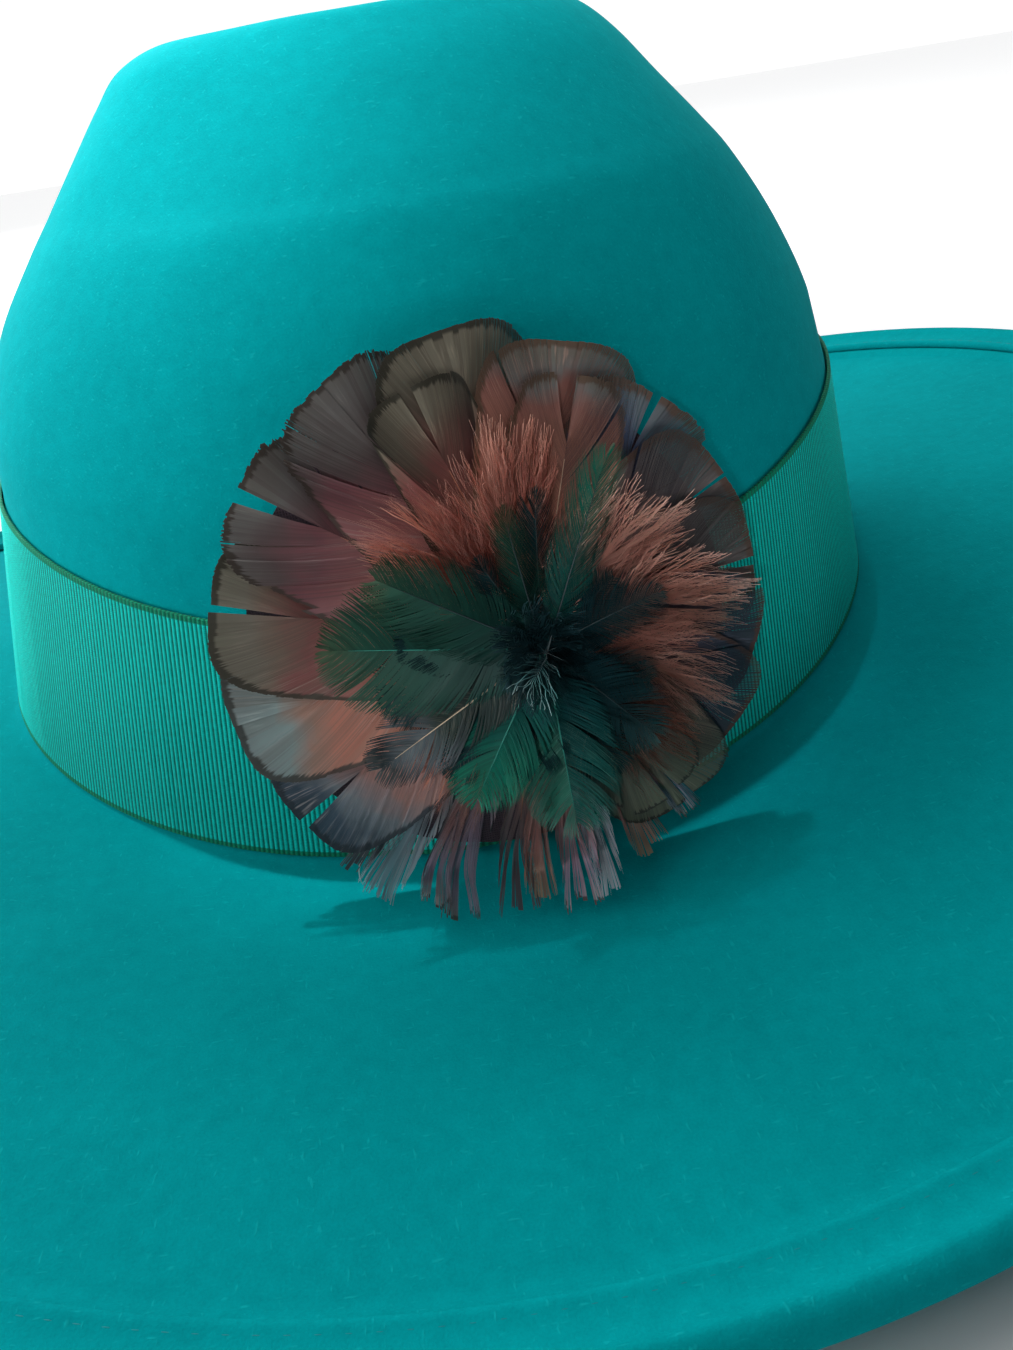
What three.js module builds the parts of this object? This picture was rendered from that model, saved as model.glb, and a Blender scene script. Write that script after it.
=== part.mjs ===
// Wide-brim felt hat with a ribbon band and a clip-on feather rosette on the wearer's left side.
// Millimetres, +Z up. Front of the hat is -X and the rosette is on the -Y side.

import * as THREE from 'three';
import { ParametricGeometry } from 'three/addons/geometries/ParametricGeometry.js';
import { mergeVertices } from 'three/addons/utils/BufferGeometryUtils.js';

// Driving dimensions
const headLength = 200;
const headWidth = 162;
const feltThickness = 2.4;
const crownHeight = 130.4;
const dentDepth = 13;
const baseSaddle = 9.4;
const roundness = 2.15;
const pinch = 0.2;

const brimWidth = 98.3;
const brimLift = 9.2;
const brimSaddle = 12.8;
const brimTwist = 7.1;
const brimRearLift = 2.3;
const brimNearLift = 2.7;
const weltWidth = 8;
const wireRadius = 0.8;

const ribbonHeight = 47.6;
const ribbonFoot = 1.4;
const ribbonThickness = 0.6;
const joinGap = 1;
const joinTabWidth = 20;
const joinAcross = 37;
const sweatbandHeight = 32;
const sweatbandThickness = 0.8;

const clearance = 0.3;
const breakFillet = 1;

const hubAcross = 13.3;
const hubDrop = 2.5;
const rosetteLean = THREE.MathUtils.degToRad(9.6);
const backingRadius = 40;
const backingThickness = 1.5;
const backingShift = 7;
const brimDepth = 44.3;
const brimRoom = 3;
const clipWidth = 10;
const clipLength = 34;
const clipThickness = 0.8;
const clipFlat = 14;
const clipFade = 12;

const featherThickness = 0.6;
const outerReachAcross = 45;
const outerReachUp = 48.5;
const outerWidth = 26;
const plumeLength = 33;
const plumeWidth = 17;
const innerWidth = 15;
const fringeWidth = 6.5;
const fringeTail = 10;
const tuftRadius = 6;
const tuftHeight = 7;

const around = 72;
const fullTurn = 2 * Math.PI;
const nearSide = 1.5 * Math.PI;

// Outside of the felt at the break, where crown and brim meet
const baseHalfLength = headLength / 2 + feltThickness;
const baseHalfWidth = headWidth / 2 + feltThickness;
const ribbonTop = ribbonFoot + ribbonHeight;

// Block shape of the crown. rise is the share of the height between the ribbon's top edge and the
// crown's rim; the insets are how far the felt has come in from the break; saddle is how much of
// the base curve is left at that height.
const straightWall = { front: 14.3, back: 8.8, side: 2.3 };
const crownRows = [
  { z: 0, front: 0, back: 0, side: 0, saddle: 1, pinch: 0 },
  { z: ribbonTop, ...straightWall, saddle: 1, pinch: 0 },
  ...[
    { rise: 0.2, front: 16.4, back: 12.4, side: 4.4, saddle: 0.7, pinch: 0.1 },
    { rise: 0.42, front: 23.9, back: 19.2, side: 9.4, saddle: 0.3, pinch: 0.4 },
    { rise: 0.61, front: 33.8, back: 27.4, side: 16.4, saddle: 0, pinch: 0.8 },
    { rise: 0.69, front: 39.6, back: 32.8, side: 21.9, saddle: 0, pinch: 1 },
    { rise: 0.79, front: 47, back: 40.1, side: 30.4, saddle: 0, pinch: 1 },
    { rise: 0.89, front: 54.4, back: 47.4, side: 38.9, saddle: 0, pinch: 1 },
    { rise: 0.96, front: 60.4, back: 54.4, side: 45.9, saddle: 0, pinch: 1 },
    { rise: 1, front: 69.4, back: 62.4, side: 51.4, saddle: 0, pinch: 1 },
  ].map((row) => ({ ...row, z: ribbonTop + row.rise * (crownHeight - ribbonTop) })),
];
const dentRows = [
  { share: 0, depth: 1 },
  { share: 0.35, depth: 0.85 },
  { share: 0.6, depth: 0.45 },
  { share: 0.82, depth: 0.1 },
];
const innerRimShare = 0.94;

function rowAt(z) {
  let upper = crownRows.findIndex((row) => row.z > z);
  if (upper < 1) upper = upper < 0 ? crownRows.length - 1 : 1;
  const low = crownRows[upper - 1];
  const high = crownRows[upper];
  const t = (z - low.z) / (high.z - low.z);
  const mixed = { z };
  for (const key of ['front', 'back', 'side', 'saddle', 'pinch']) {
    mixed[key] = THREE.MathUtils.lerp(low[key], high[key], t);
  }
  return mixed;
}

function signedPower(value, power) {
  return Math.sign(value) * Math.abs(value) ** power;
}

function crownPoint(z, angle, share = 1) {
  const row = rowAt(z);
  const along = signedPower(Math.cos(angle), 2 / roundness);
  const across = signedPower(Math.sin(angle), 2 / roundness);
  const front = baseHalfLength - row.front;
  const back = baseHalfLength - row.back;
  const halfLength = (front + back) / 2;
  const halfWidth = baseHalfWidth - row.side;
  const narrowing = 1 - pinch * row.pinch * THREE.MathUtils.smoothstep(-along, -0.2, 1);
  return new THREE.Vector3(
    (back - front) / 2 + halfLength * along * share,
    halfWidth * across * narrowing * share,
    z + baseSaddle * row.saddle * Math.cos(2 * angle),
  );
}

// Point on the crown wall, moved out (or, if negative, in) along the wall's normal
function wallPoint(z, angle, out) {
  const stepUp = crownPoint(z + 1, angle).sub(crownPoint(z - 1, angle));
  const stepRound = crownPoint(z, angle + 0.01).sub(crownPoint(z, angle - 0.01));
  const normal = stepRound.cross(stepUp).normalize();
  return crownPoint(z, angle).addScaledVector(normal, out);
}

function edgePoint(angle) {
  const x = Math.cos(angle);
  const y = Math.sin(angle);
  const lift = brimLift + brimRearLift * x - brimNearLift * y;
  const wave = brimSaddle * Math.cos(2 * angle) + brimTwist * Math.sin(2 * angle);
  return new THREE.Vector3(
    (baseHalfLength + brimWidth) * x,
    (baseHalfWidth + brimWidth) * y,
    lift + wave,
  );
}

function edgeOutward(angle) {
  const x = Math.cos(angle) / (baseHalfLength + brimWidth);
  const y = Math.sin(angle) / (baseHalfWidth + brimWidth);
  return new THREE.Vector3(x, y, 0).normalize();
}

// Closed skin through a list of stations, each a function of the angle round the hat
function skin(stations, slices, start = 0, sweep = fullTurn) {
  const place = (u, v, target) => {
    const station = stations[Math.round(v * (stations.length - 1))];
    target.copy(station(start + u * sweep));
  };
  return solid(new ParametricGeometry(place, slices, stations.length - 1));
}

// Welds a closed surface, drops the triangles collapsed at a pole and turns its faces outward
function solid(surface) {
  surface.deleteAttribute('normal');
  surface.deleteAttribute('uv');
  const welded = mergeVertices(surface, 1e-4);
  const corners = welded.getIndex().array;
  const points = welded.getAttribute('position');
  const kept = [];
  let volume = 0;
  const [a, b, c] = [new THREE.Vector3(), new THREE.Vector3(), new THREE.Vector3()];
  for (let i = 0; i < corners.length; i += 3) {
    const [p, q, r] = [corners[i], corners[i + 1], corners[i + 2]];
    if (p === q || q === r || r === p) continue;
    kept.push([p, q, r]);
    a.fromBufferAttribute(points, p);
    b.fromBufferAttribute(points, q);
    c.fromBufferAttribute(points, r);
    volume += a.dot(b.cross(c));
  }
  const faces = volume < 0 ? kept.map(([p, q, r]) => [p, r, q]) : kept;
  welded.setIndex(faces.flat());
  welded.computeVertexNormals();
  return welded;
}

function makePiece(name, geometry, colour, roughness, metalness = 0) {
  const material = new THREE.MeshStandardMaterial({ color: colour, roughness, metalness });
  const mesh = new THREE.Mesh(geometry, material);
  mesh.name = name;
  return mesh;
}

// Felt hood: crown and brim are one blocked felt, its edge turned up and over the brim wire
function feltHood() {
  const rimZ = crownRows.at(-1).z;
  const inside = rimZ - feltThickness;
  const dented = (z, row) => (angle) => {
    const point = crownPoint(rimZ, angle, row.share);
    point.z = z - dentDepth * row.depth;
    return point;
  };
  const outerWall = crownRows.slice(1).reverse().map((row) => (angle) => crownPoint(row.z, angle));
  const innerWall = crownRows.slice(1, -1).map((row) => (angle) => wallPoint(row.z, angle, -feltThickness));
  const innerRim = (angle) => {
    const point = crownPoint(rimZ, angle, innerRimShare);
    point.z = inside;
    return point;
  };
  const base = (out, up) => (angle) => {
    const point = wallPoint(breakFillet, angle, out);
    point.z += up;
    return point;
  };
  const brim = (share, drop) => (angle) => {
    const point = crownPoint(0, angle).lerp(edgePoint(angle), share);
    point.z -= drop;
    return point;
  };
  const channel = wireRadius + clearance;
  const rolled = channel + feltThickness;
  const edge = (out, up) => (angle) => edgePoint(angle)
    .addScaledVector(edgeOutward(angle), out)
    .add(new THREE.Vector3(0, 0, up));
  const arc = (radius, steps) => Array.from({ length: steps + 1 }, (_, i) => {
    const turn = -Math.PI / 2 + (Math.PI * i) / steps;
    return edge(radius * Math.cos(turn), radius * Math.sin(turn));
  });
  const shares = [0.08, 0.3, 0.6];
  return skin([
    ...dentRows.map((row) => dented(rimZ, row)),
    ...outerWall,
    base(0, 0),
    base(breakFillet, -breakFillet),
    ...shares.map((share) => brim(share, channel * share)),
    edge(-weltWidth - 2, -channel),
    ...arc(channel, 4),
    edge(-2 * channel, -channel + clearance),
    edge(-weltWidth, -channel + clearance),
    edge(-weltWidth, -channel + clearance + feltThickness),
    edge(-2 * channel, -channel + clearance + feltThickness),
    ...arc(rolled, 6).reverse(),
    edge(-weltWidth - 2, -rolled),
    ...shares.map((share) => brim(share, channel * share + feltThickness)).reverse(),
    (angle) => wallPoint(-feltThickness, angle, -feltThickness),
    (angle) => wallPoint(ribbonTop - feltThickness, angle, -feltThickness),
    ...innerWall,
    innerRim,
    ...dentRows.map((row) => dented(inside, row)).reverse(),
  ], around);
}

function brimWire() {
  const station = (turn) => (angle) => edgePoint(angle)
    .addScaledVector(edgeOutward(angle), wireRadius * Math.cos(turn))
    .add(new THREE.Vector3(0, 0, wireRadius * Math.sin(turn)));
  const sides = 6;
  return skin(Array.from({ length: sides + 1 }, (_, i) => station((fullTurn * i) / sides)), around);
}

// How far the ribbon stands off the felt: it lets the clip's tongue in behind it
const tongueRoom = clipThickness + 2 * clearance;
const angleAcross = (across) => nearSide + Math.asin(across / baseHalfLength);
const clipAcross = hubAcross - backingShift;

function ribbonOffset(angle) {
  const across = crownPoint(ribbonFoot, angle).x - clipAcross;
  const near = Math.sin(angle) < 0 ? Math.abs(across) : Infinity;
  const bulge = 1 - THREE.MathUtils.smoothstep(near, clipFlat, clipFlat + clipFade);
  return clearance + tongueRoom * bulge;
}

function bandStations(low, high, inner, outer) {
  const heights = [low, (low + high) / 2, high];
  const face = (z, offset) => (angle) => wallPoint(z, angle, offset(angle));
  const front = heights.map((z) => face(z, outer));
  const back = heights.map((z) => face(z, inner)).reverse();
  return [...front, ...back, front[0]];
}

// Strip with two cut ends: the end caps close the skin
function openStrip(stations, slices, start, sweep) {
  const ring = stations.length - 1;
  const positions = [];
  for (let j = 0; j <= slices; j += 1) {
    for (let i = 0; i < ring; i += 1) {
      positions.push(...stations[i](start + (sweep * j) / slices).toArray());
    }
  }
  const faces = [];
  const quad = (p, q, r, s) => faces.push(p, q, r, p, r, s);
  for (let j = 0; j < slices; j += 1) {
    for (let i = 0; i < ring; i += 1) {
      const next = (i + 1) % ring;
      quad(j * ring + i, (j + 1) * ring + i, (j + 1) * ring + next, j * ring + next);
    }
  }
  for (let i = 0; i < ring / 2 - 1; i += 1) {
    const opposite = ring - 1 - i;
    quad(i, i + 1, opposite - 1, opposite);
    const last = slices * ring;
    quad(last + i, last + opposite, last + opposite - 1, last + i + 1);
  }
  const strip = new THREE.BufferGeometry();
  strip.setAttribute('position', new THREE.Float32BufferAttribute(positions, 3));
  strip.setIndex(faces);
  return solid(strip);
}

function ribbonBand() {
  const halfGap = joinGap / 2 / baseHalfLength;
  const outer = (angle) => ribbonOffset(angle) + ribbonThickness;
  const stations = bandStations(ribbonFoot, ribbonTop, ribbonOffset, outer);
  const start = angleAcross(joinAcross) + halfGap;
  return openStrip(stations, around, start, fullTurn - 2 * halfGap);
}

function ribbonJoinTab() {
  const inner = (angle) => ribbonOffset(angle) + ribbonThickness + clearance;
  const outer = (angle) => inner(angle) + ribbonThickness;
  const stations = bandStations(ribbonFoot, ribbonTop, inner, outer);
  const start = angleAcross(joinAcross - joinTabWidth / 2);
  return openStrip(stations, 4, start, angleAcross(joinAcross + joinTabWidth / 2) - start);
}

function sweatband() {
  const outer = () => -feltThickness - clearance;
  const inner = () => outer() - sweatbandThickness;
  return skin(bandStations(ribbonFoot, ribbonFoot + sweatbandHeight, inner, outer), around);
}

// Clip: one bent strip of sheet steel, its tongue behind the ribbon and its leaf in front of it.
// The outline is in the wall's own plane: x out from the felt, y up from the ribbon's top edge.
const ribbonFront = clearance + tongueRoom + ribbonThickness;
const leafStart = ribbonFront + clearance;
const wallFoot = crownPoint(ribbonFoot, nearSide);
const wallTop = crownPoint(ribbonTop, nearSide);
const wallLean = Math.atan2(wallTop.y - wallFoot.y, wallTop.z - wallFoot.z);
const leafSplay = rosetteLean - wallLean;

function onWall(lean, origin) {
  const frame = new THREE.Group();
  frame.position.copy(origin);
  frame.rotation.x = Math.PI / 2 - lean;
  return frame;
}

function clip() {
  const bendTop = clearance + clipThickness;
  const splay = (drop) => drop * Math.tan(leafSplay);
  const leafDrop = clipLength - 4;
  const outline = new THREE.Shape([
    new THREE.Vector2(clearance, -clipLength),
    new THREE.Vector2(clearance + clipThickness, -clipLength),
    new THREE.Vector2(clearance + clipThickness, clearance),
    new THREE.Vector2(leafStart, clearance),
    new THREE.Vector2(leafStart + splay(leafDrop), -leafDrop),
    new THREE.Vector2(leafStart + clipThickness + splay(leafDrop), -leafDrop),
    new THREE.Vector2(leafStart + clipThickness, clearance),
    new THREE.Vector2(leafStart + clipThickness / 2, bendTop),
    new THREE.Vector2(clearance + clipThickness / 2, bendTop),
    new THREE.Vector2(clearance, clearance),
  ]);
  const strip = new THREE.ExtrudeGeometry(outline, { depth: clipWidth, bevelEnabled: false });
  strip.translate(0, 0, -clipWidth / 2);
  const turned = new THREE.Matrix4().makeBasis(
    new THREE.Vector3(0, 0, 1),
    new THREE.Vector3(0, 1, 0),
    new THREE.Vector3(-1, 0, 0),
  );
  return strip.applyMatrix4(turned);
}

// The backing stops short of the brim below it, however large it is asked to be
function backing() {
  const radius = Math.min(backingRadius, brimDepth - brimRoom);
  const disc = new THREE.CylinderGeometry(radius, radius, backingThickness, 40);
  disc.rotateX(Math.PI / 2);
  disc.translate(-backingShift, 0, -backingThickness / 2);
  return disc;
}

// Feather blade: root at the hub, widest near its rounded tip
function blade(root, reach, rootWidth, width) {
  const length = reach - root;
  const outline = new THREE.Shape();
  outline.moveTo(-rootWidth / 2, root);
  outline.lineTo(rootWidth / 2, root);
  outline.quadraticCurveTo(width / 2, root + length * 0.45, width / 2, reach - width * 0.4);
  outline.quadraticCurveTo(width / 2, reach, 0, reach);
  outline.quadraticCurveTo(-width / 2, reach, -width / 2, reach - width * 0.4);
  outline.quadraticCurveTo(-width / 2, root + length * 0.45, -rootWidth / 2, root);
  const settings = { depth: featherThickness, bevelEnabled: false, curveSegments: 4 };
  return new THREE.ExtrudeGeometry(outline, settings).translate(0, 0, -featherThickness / 2);
}

// Barb bundle of the fringe: runs down the rosette, then out over the brim
function fringeStrand(root, bend, tail) {
  const inner = 3;
  const outer = inner + featherThickness;
  const side = new THREE.Shape();
  side.moveTo(root, 0);
  side.lineTo(bend, 0);
  side.absarc(bend, outer, outer, -Math.PI / 2, 0, false);
  side.lineTo(bend + outer, outer + tail);
  side.lineTo(bend + inner, outer + tail);
  side.absarc(bend, outer, inner, 0, -Math.PI / 2, true);
  side.lineTo(root, featherThickness);
  const settings = { depth: fringeWidth, bevelEnabled: false, curveSegments: 3 };
  const strand = new THREE.ExtrudeGeometry(side, settings);
  strand.translate(0, 0, -fringeWidth / 2);
  const turned = new THREE.Matrix4().makeBasis(
    new THREE.Vector3(0, 1, 0),
    new THREE.Vector3(0, 0, 1),
    new THREE.Vector3(1, 0, 0),
  );
  return strand.applyMatrix4(turned);
}

function tuft(foot, top) {
  const stem = tuftRadius * 0.4;
  return new THREE.LatheGeometry([
    new THREE.Vector2(0, foot),
    new THREE.Vector2(stem, foot),
    new THREE.Vector2(stem, top - tuftHeight),
    new THREE.Vector2(tuftRadius, top - tuftHeight * 0.5),
    new THREE.Vector2(tuftRadius * 0.8, top),
    new THREE.Vector2(0, top),
  ], 12).rotateX(Math.PI / 2);
}

// A ring lies like an iris: each feather is turned a little about its own quill, so that it
// passes over one neighbour and under the other
function addRing(frame, ring) {
  ring.feathers.forEach(({ direction, reach }, index) => {
    const name = `${ring.name}_${String(index + 1).padStart(2, '0')}`;
    const shape = blade(ring.root, reach, ring.rootWidth, ring.width);
    const feather = makePiece(name, shape, ring.colour, 0.7);
    feather.position.z = ring.height;
    feather.rotation.set(0, ring.twist, THREE.MathUtils.degToRad(direction - 90), 'ZYX');
    frame.add(feather);
  });
}

function outerReach(direction) {
  const angle = THREE.MathUtils.degToRad(direction);
  const shift = -backingShift / outerReachAcross;
  const x = Math.cos(angle) / outerReachAcross;
  const y = Math.sin(angle) / outerReachUp;
  const square = x * x + y * y;
  const mixed = x * shift;
  return (mixed + Math.sqrt(mixed * mixed - square * (shift * shift - 1))) / square;
}

const outerCount = 13;
const outerStart = 306;
const outerPitch = 22.4;
const outerTwist = 0.17;
const fringeDirections = [231, 245.5, 260, 275, 289.5];
const fringeRoot = 28;
const fringeLift = 0.3;
const layer = clearance + featherThickness;
const outerHeight = fringeLift + layer + Math.tan(outerTwist) * outerWidth / 2 + featherThickness;
const plumeCount = 9;
const plumeTwist = 0.16;
const plumeHeight = outerHeight + layer
  + Math.tan(outerTwist) * outerWidth / 2 + Math.tan(plumeTwist) * plumeWidth / 2;
const innerTwist = 0.19;
const innerHeight = plumeHeight + layer
  + Math.tan(plumeTwist) * plumeWidth / 2 + Math.tan(innerTwist) * innerWidth / 2;
const innerFeathers = [
  { direction: 18, reach: 20 },
  { direction: 60, reach: 24 },
  { direction: 100, reach: 24 },
  { direction: 138, reach: 28 },
  { direction: 172, reach: 34 },
  { direction: 207, reach: 33 },
  { direction: 243, reach: 34 },
  { direction: 273, reach: 37 },
  { direction: 315, reach: 26 },
];

function rosetteFrame() {
  const back = (leafStart + clipThickness + clearance) / Math.cos(leafSplay);
  const outward = back + backingThickness;
  const normal = new THREE.Vector3(0, -Math.cos(rosetteLean), Math.sin(rosetteLean));
  const up = new THREE.Vector3(0, Math.sin(rosetteLean), Math.cos(rosetteLean));
  const origin = wallTop.clone();
  origin.x = hubAcross;
  origin.addScaledVector(normal, outward).addScaledVector(up, -hubDrop);
  return onWall(rosetteLean, origin);
}

const teal = 0x057f8b;
const green = 0x12a294;
const hat = new THREE.Group();
hat.add(makePiece('felt_hood', feltHood(), teal, 0.95));
hat.add(makePiece('brim_wire', brimWire(), 0x8a8d90, 0.4, 0.9));
hat.add(makePiece('ribbon_band', ribbonBand(), green, 0.6));
hat.add(makePiece('ribbon_join_tab', ribbonJoinTab(), green, 0.6));
hat.add(makePiece('sweatband', sweatband(), 0x10312f, 0.7));

const clipOrigin = wallTop.clone();
clipOrigin.x = clipAcross;
const clipFrame = onWall(wallLean, clipOrigin);
clipFrame.add(makePiece('rosette_clip', clip(), 0xb9bcc0, 0.3, 1));
hat.add(clipFrame);

const rosette = rosetteFrame();
rosette.add(makePiece('rosette_backing', backing(), 0x241e24, 0.9));
fringeDirections.forEach((direction, index) => {
  const bend = brimDepth / Math.abs(Math.sin(THREE.MathUtils.degToRad(direction))) - 4;
  const strand = makePiece(`fringe_${index + 1}`, fringeStrand(fringeRoot, bend, fringeTail), 0x7a6468, 0.7);
  strand.position.z = fringeLift;
  strand.rotation.z = THREE.MathUtils.degToRad(direction - 90);
  rosette.add(strand);
});
addRing(rosette, {
  name: 'outer_feather',
  feathers: Array.from({ length: outerCount }, (_, i) => {
    const direction = outerStart + outerPitch * i;
    return { direction, reach: outerReach(direction) };
  }),
  root: 15,
  rootWidth: 3,
  width: outerWidth,
  twist: outerTwist,
  height: outerHeight,
  colour: 0x5b4a3a,
});
addRing(rosette, {
  name: 'plume',
  feathers: Array.from({ length: plumeCount }, (_, i) => ({
    direction: 22 + (360 / plumeCount) * i,
    reach: plumeLength,
  })),
  root: 9,
  rootWidth: 3,
  width: plumeWidth,
  twist: plumeTwist,
  height: plumeHeight,
  colour: 0xa0604c,
});
addRing(rosette, {
  name: 'inner_feather',
  feathers: innerFeathers,
  root: 11,
  rootWidth: 2.5,
  width: innerWidth,
  twist: innerTwist,
  height: innerHeight,
  colour: 0x12382c,
});
const tuftTop = innerHeight + Math.tan(innerTwist) * innerWidth / 2 + tuftHeight;
rosette.add(makePiece('centre_tuft', tuft(clearance, tuftTop), 0x0d1f1f, 0.8));
hat.add(rosette);

// The hat stands with its lowest point at z = 0, above the middle of the brim
hat.updateMatrixWorld(true);
const group = new THREE.Group();
group.add(hat);
hat.position.z = -new THREE.Box3().setFromObject(hat, true).min.z;

export default group;
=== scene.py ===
import math

import bmesh
import bpy
import numpy as np
from mathutils import Matrix, Vector, noise


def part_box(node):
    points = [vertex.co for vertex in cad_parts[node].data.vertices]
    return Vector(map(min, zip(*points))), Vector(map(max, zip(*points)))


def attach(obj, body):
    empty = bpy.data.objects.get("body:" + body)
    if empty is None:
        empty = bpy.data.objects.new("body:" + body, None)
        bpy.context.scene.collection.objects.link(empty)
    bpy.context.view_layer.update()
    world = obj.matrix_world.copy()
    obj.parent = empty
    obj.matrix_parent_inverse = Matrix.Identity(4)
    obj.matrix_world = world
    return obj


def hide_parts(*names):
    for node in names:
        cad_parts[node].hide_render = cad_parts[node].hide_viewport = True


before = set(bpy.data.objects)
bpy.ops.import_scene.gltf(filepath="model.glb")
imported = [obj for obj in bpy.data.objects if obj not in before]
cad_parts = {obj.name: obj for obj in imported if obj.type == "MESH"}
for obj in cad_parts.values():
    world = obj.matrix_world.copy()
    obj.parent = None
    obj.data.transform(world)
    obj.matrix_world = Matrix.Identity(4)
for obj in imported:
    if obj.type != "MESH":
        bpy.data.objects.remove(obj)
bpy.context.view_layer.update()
mm = 0.001
print("frame loaded")


# One number in a node tree: sums written with it add their Math nodes
class Num:
    def __init__(self, tree, socket):
        self.tree = tree
        self.socket = socket

    def join(self, operation, first, second):
        return self.tree.math(operation, first, second)

    def __add__(self, other):
        return self.join("ADD", self, other)

    def __radd__(self, other):
        return self.join("ADD", other, self)

    def __sub__(self, other):
        return self.join("SUBTRACT", self, other)

    def __rsub__(self, other):
        return self.join("SUBTRACT", other, self)

    def __mul__(self, other):
        return self.join("MULTIPLY", self, other)

    def __rmul__(self, other):
        return self.join("MULTIPLY", other, self)

    def __truediv__(self, other):
        return self.join("DIVIDE", self, other)

    def __rtruediv__(self, other):
        return self.join("DIVIDE", other, self)

    def __pow__(self, other):
        return self.join("POWER", self, other)

    def __gt__(self, other):
        return self.join("GREATER_THAN", self, other)

    def __lt__(self, other):
        return self.join("LESS_THAN", self, other)


# A shader or geometry tree; add() makes any node from its type, its settings and its inputs
class Nodes:
    def __init__(self, tree):
        self.tree = tree

    def add(self, kind, settings=None, inputs=None):
        node = self.tree.nodes.new(kind)
        for name, value in (settings or {}).items():
            if name == "stops":
                self.setStops(node.color_ramp, value)
            else:
                setattr(node, name, value)
        for name, value in (inputs or {}).items():
            socket = node.inputs[name]
            if isinstance(value, Num):
                self.tree.links.new(value.socket, socket)
            elif isinstance(value, bpy.types.NodeSocket):
                self.tree.links.new(value, socket)
            else:
                socket.default_value = value
        return node

    def setStops(self, ramp, stops):
        while len(ramp.elements) < len(stops):
            ramp.elements.new(0.5)
        for element, (place, colour) in zip(ramp.elements, stops):
            element.position = place
            element.color = (*colour, 1)

    def number(self, socket):
        return Num(self, socket)

    def math(self, operation, first, second=0.0, clamp=False):
        settings = {"operation": operation, "use_clamp": clamp}
        node = self.add("ShaderNodeMath", settings, {0: first, 1: second})
        return Num(self, node.outputs[0])

    def clamp(self, value):
        return self.math("ADD", value, 0.0, clamp=True)

    def smooth(self, value, low, high):
        settings = {"interpolation_type": "SMOOTHSTEP"}
        node = self.add("ShaderNodeMapRange", settings, {0: value, 1: low, 2: high})
        return Num(self, node.outputs[0])

    def mix(self, factor, first, second, blend="MIX"):
        settings = {"data_type": "RGBA", "blend_type": blend}
        node = self.add("ShaderNodeMix", settings, {0: factor, 6: first, 7: second})
        return node.outputs[2]

    def vector(self, x, y, z):
        return self.add("ShaderNodeCombineXYZ", None, {0: x, 1: y, 2: z}).outputs[0]

    def parts(self, vector):
        node = self.add("ShaderNodeSeparateXYZ", None, {0: vector})
        return [Num(self, output) for output in node.outputs]

    def along(self, operation, first, second):
        node = self.add("ShaderNodeVectorMath", {"operation": operation})
        for index, value in enumerate((first, second)):
            if isinstance(value, bpy.types.NodeSocket):
                self.tree.links.new(value, node.inputs[index])
            else:
                node.inputs[index].default_value = value
        return node.outputs[0]

    def noise(self, vector, scale, detail=2.0, rough=0.5, stretch=None):
        if stretch:
            vector = self.along("MULTIPLY", vector, stretch)
        inputs = {"Vector": vector, "Scale": scale, "Detail": detail, "Roughness": rough}
        return Num(self, self.add("ShaderNodeTexNoise", None, inputs).outputs[0])

    def random(self, key, seed):
        inputs = {"Vector": self.vector(key, seed, 0.0)}
        node = self.add("ShaderNodeTexWhiteNoise", {"noise_dimensions": "2D"}, inputs)
        return Num(self, node.outputs[0])


def colour(r, g, b):  # from display values 0-255
    def linear(value):
        share = value / 255
        return share / 12.92 if share <= 0.04045 else ((share + 0.055) / 1.055) ** 2.4
    return tuple(linear(v) for v in (r, g, b))


def rgba(r, g, b):
    return (*colour(r, g, b), 1)


def newMaterial(name, base, roughness, settings=None):
    material = bpy.data.materials.new(name)
    material.use_nodes = True
    nodes = Nodes(material.node_tree)
    shader = material.node_tree.nodes["Principled BSDF"]
    shader.inputs["Base Color"].default_value = base
    shader.inputs["Roughness"].default_value = roughness
    for key, value in (settings or {}).items():
        shader.inputs[key].default_value = value
    return material, nodes, shader


def link(nodes, value, socket):
    nodes.tree.links.new(value.socket if isinstance(value, Num) else value, socket)


def objectPlace(nodes):
    return nodes.add("ShaderNodeTexCoord").outputs["Object"]


def bump(nodes, shader, height, distance, strength=1.0, under=None):
    inputs = {"Height": height, "Distance": distance, "Strength": strength}
    if under:
        inputs["Normal"] = under
    node = nodes.add("ShaderNodeBump", None, inputs)
    link(nodes, node.outputs[0], shader.inputs["Normal"])
    return node.outputs[0]


def newPiece(name, vertices, faces, material, body, smooth=True):
    mesh = bpy.data.meshes.new(name)
    mesh.from_pydata([tuple(v) for v in vertices], [], faces)
    mesh.update()
    return fromMesh(name, mesh, material, body, smooth)


def fromMesh(name, mesh, material, body, smooth=True):
    piece = bpy.data.objects.new(name, mesh)
    bpy.context.scene.collection.objects.link(piece)
    if material:
        mesh.materials.clear()
        mesh.materials.append(material)
    if smooth:
        mesh.shade_smooth()
    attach(piece, body)
    return piece


def fromGrid(name, grid, material, body, closedUp=False, openRound=False):
    rows, columns = grid.shape[:2]
    vertices = grid.reshape(-1, 3)
    faces = []
    for i in range(rows if closedUp else rows - 1):
        for j in range(columns - 1 if openRound else columns):
            a = i * columns + j
            b = i * columns + (j + 1) % columns
            up = ((i + 1) % rows) * columns
            faces.append((a, b, up + (j + 1) % columns, up + j))
    return newPiece(name, vertices, faces, material, body)


def addUv(mesh, corners):
    layer = mesh.uv_layers.new(name="OFBake")
    layer.data.foreach_set("uv", np.asarray(corners, np.float32).ravel())


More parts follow.
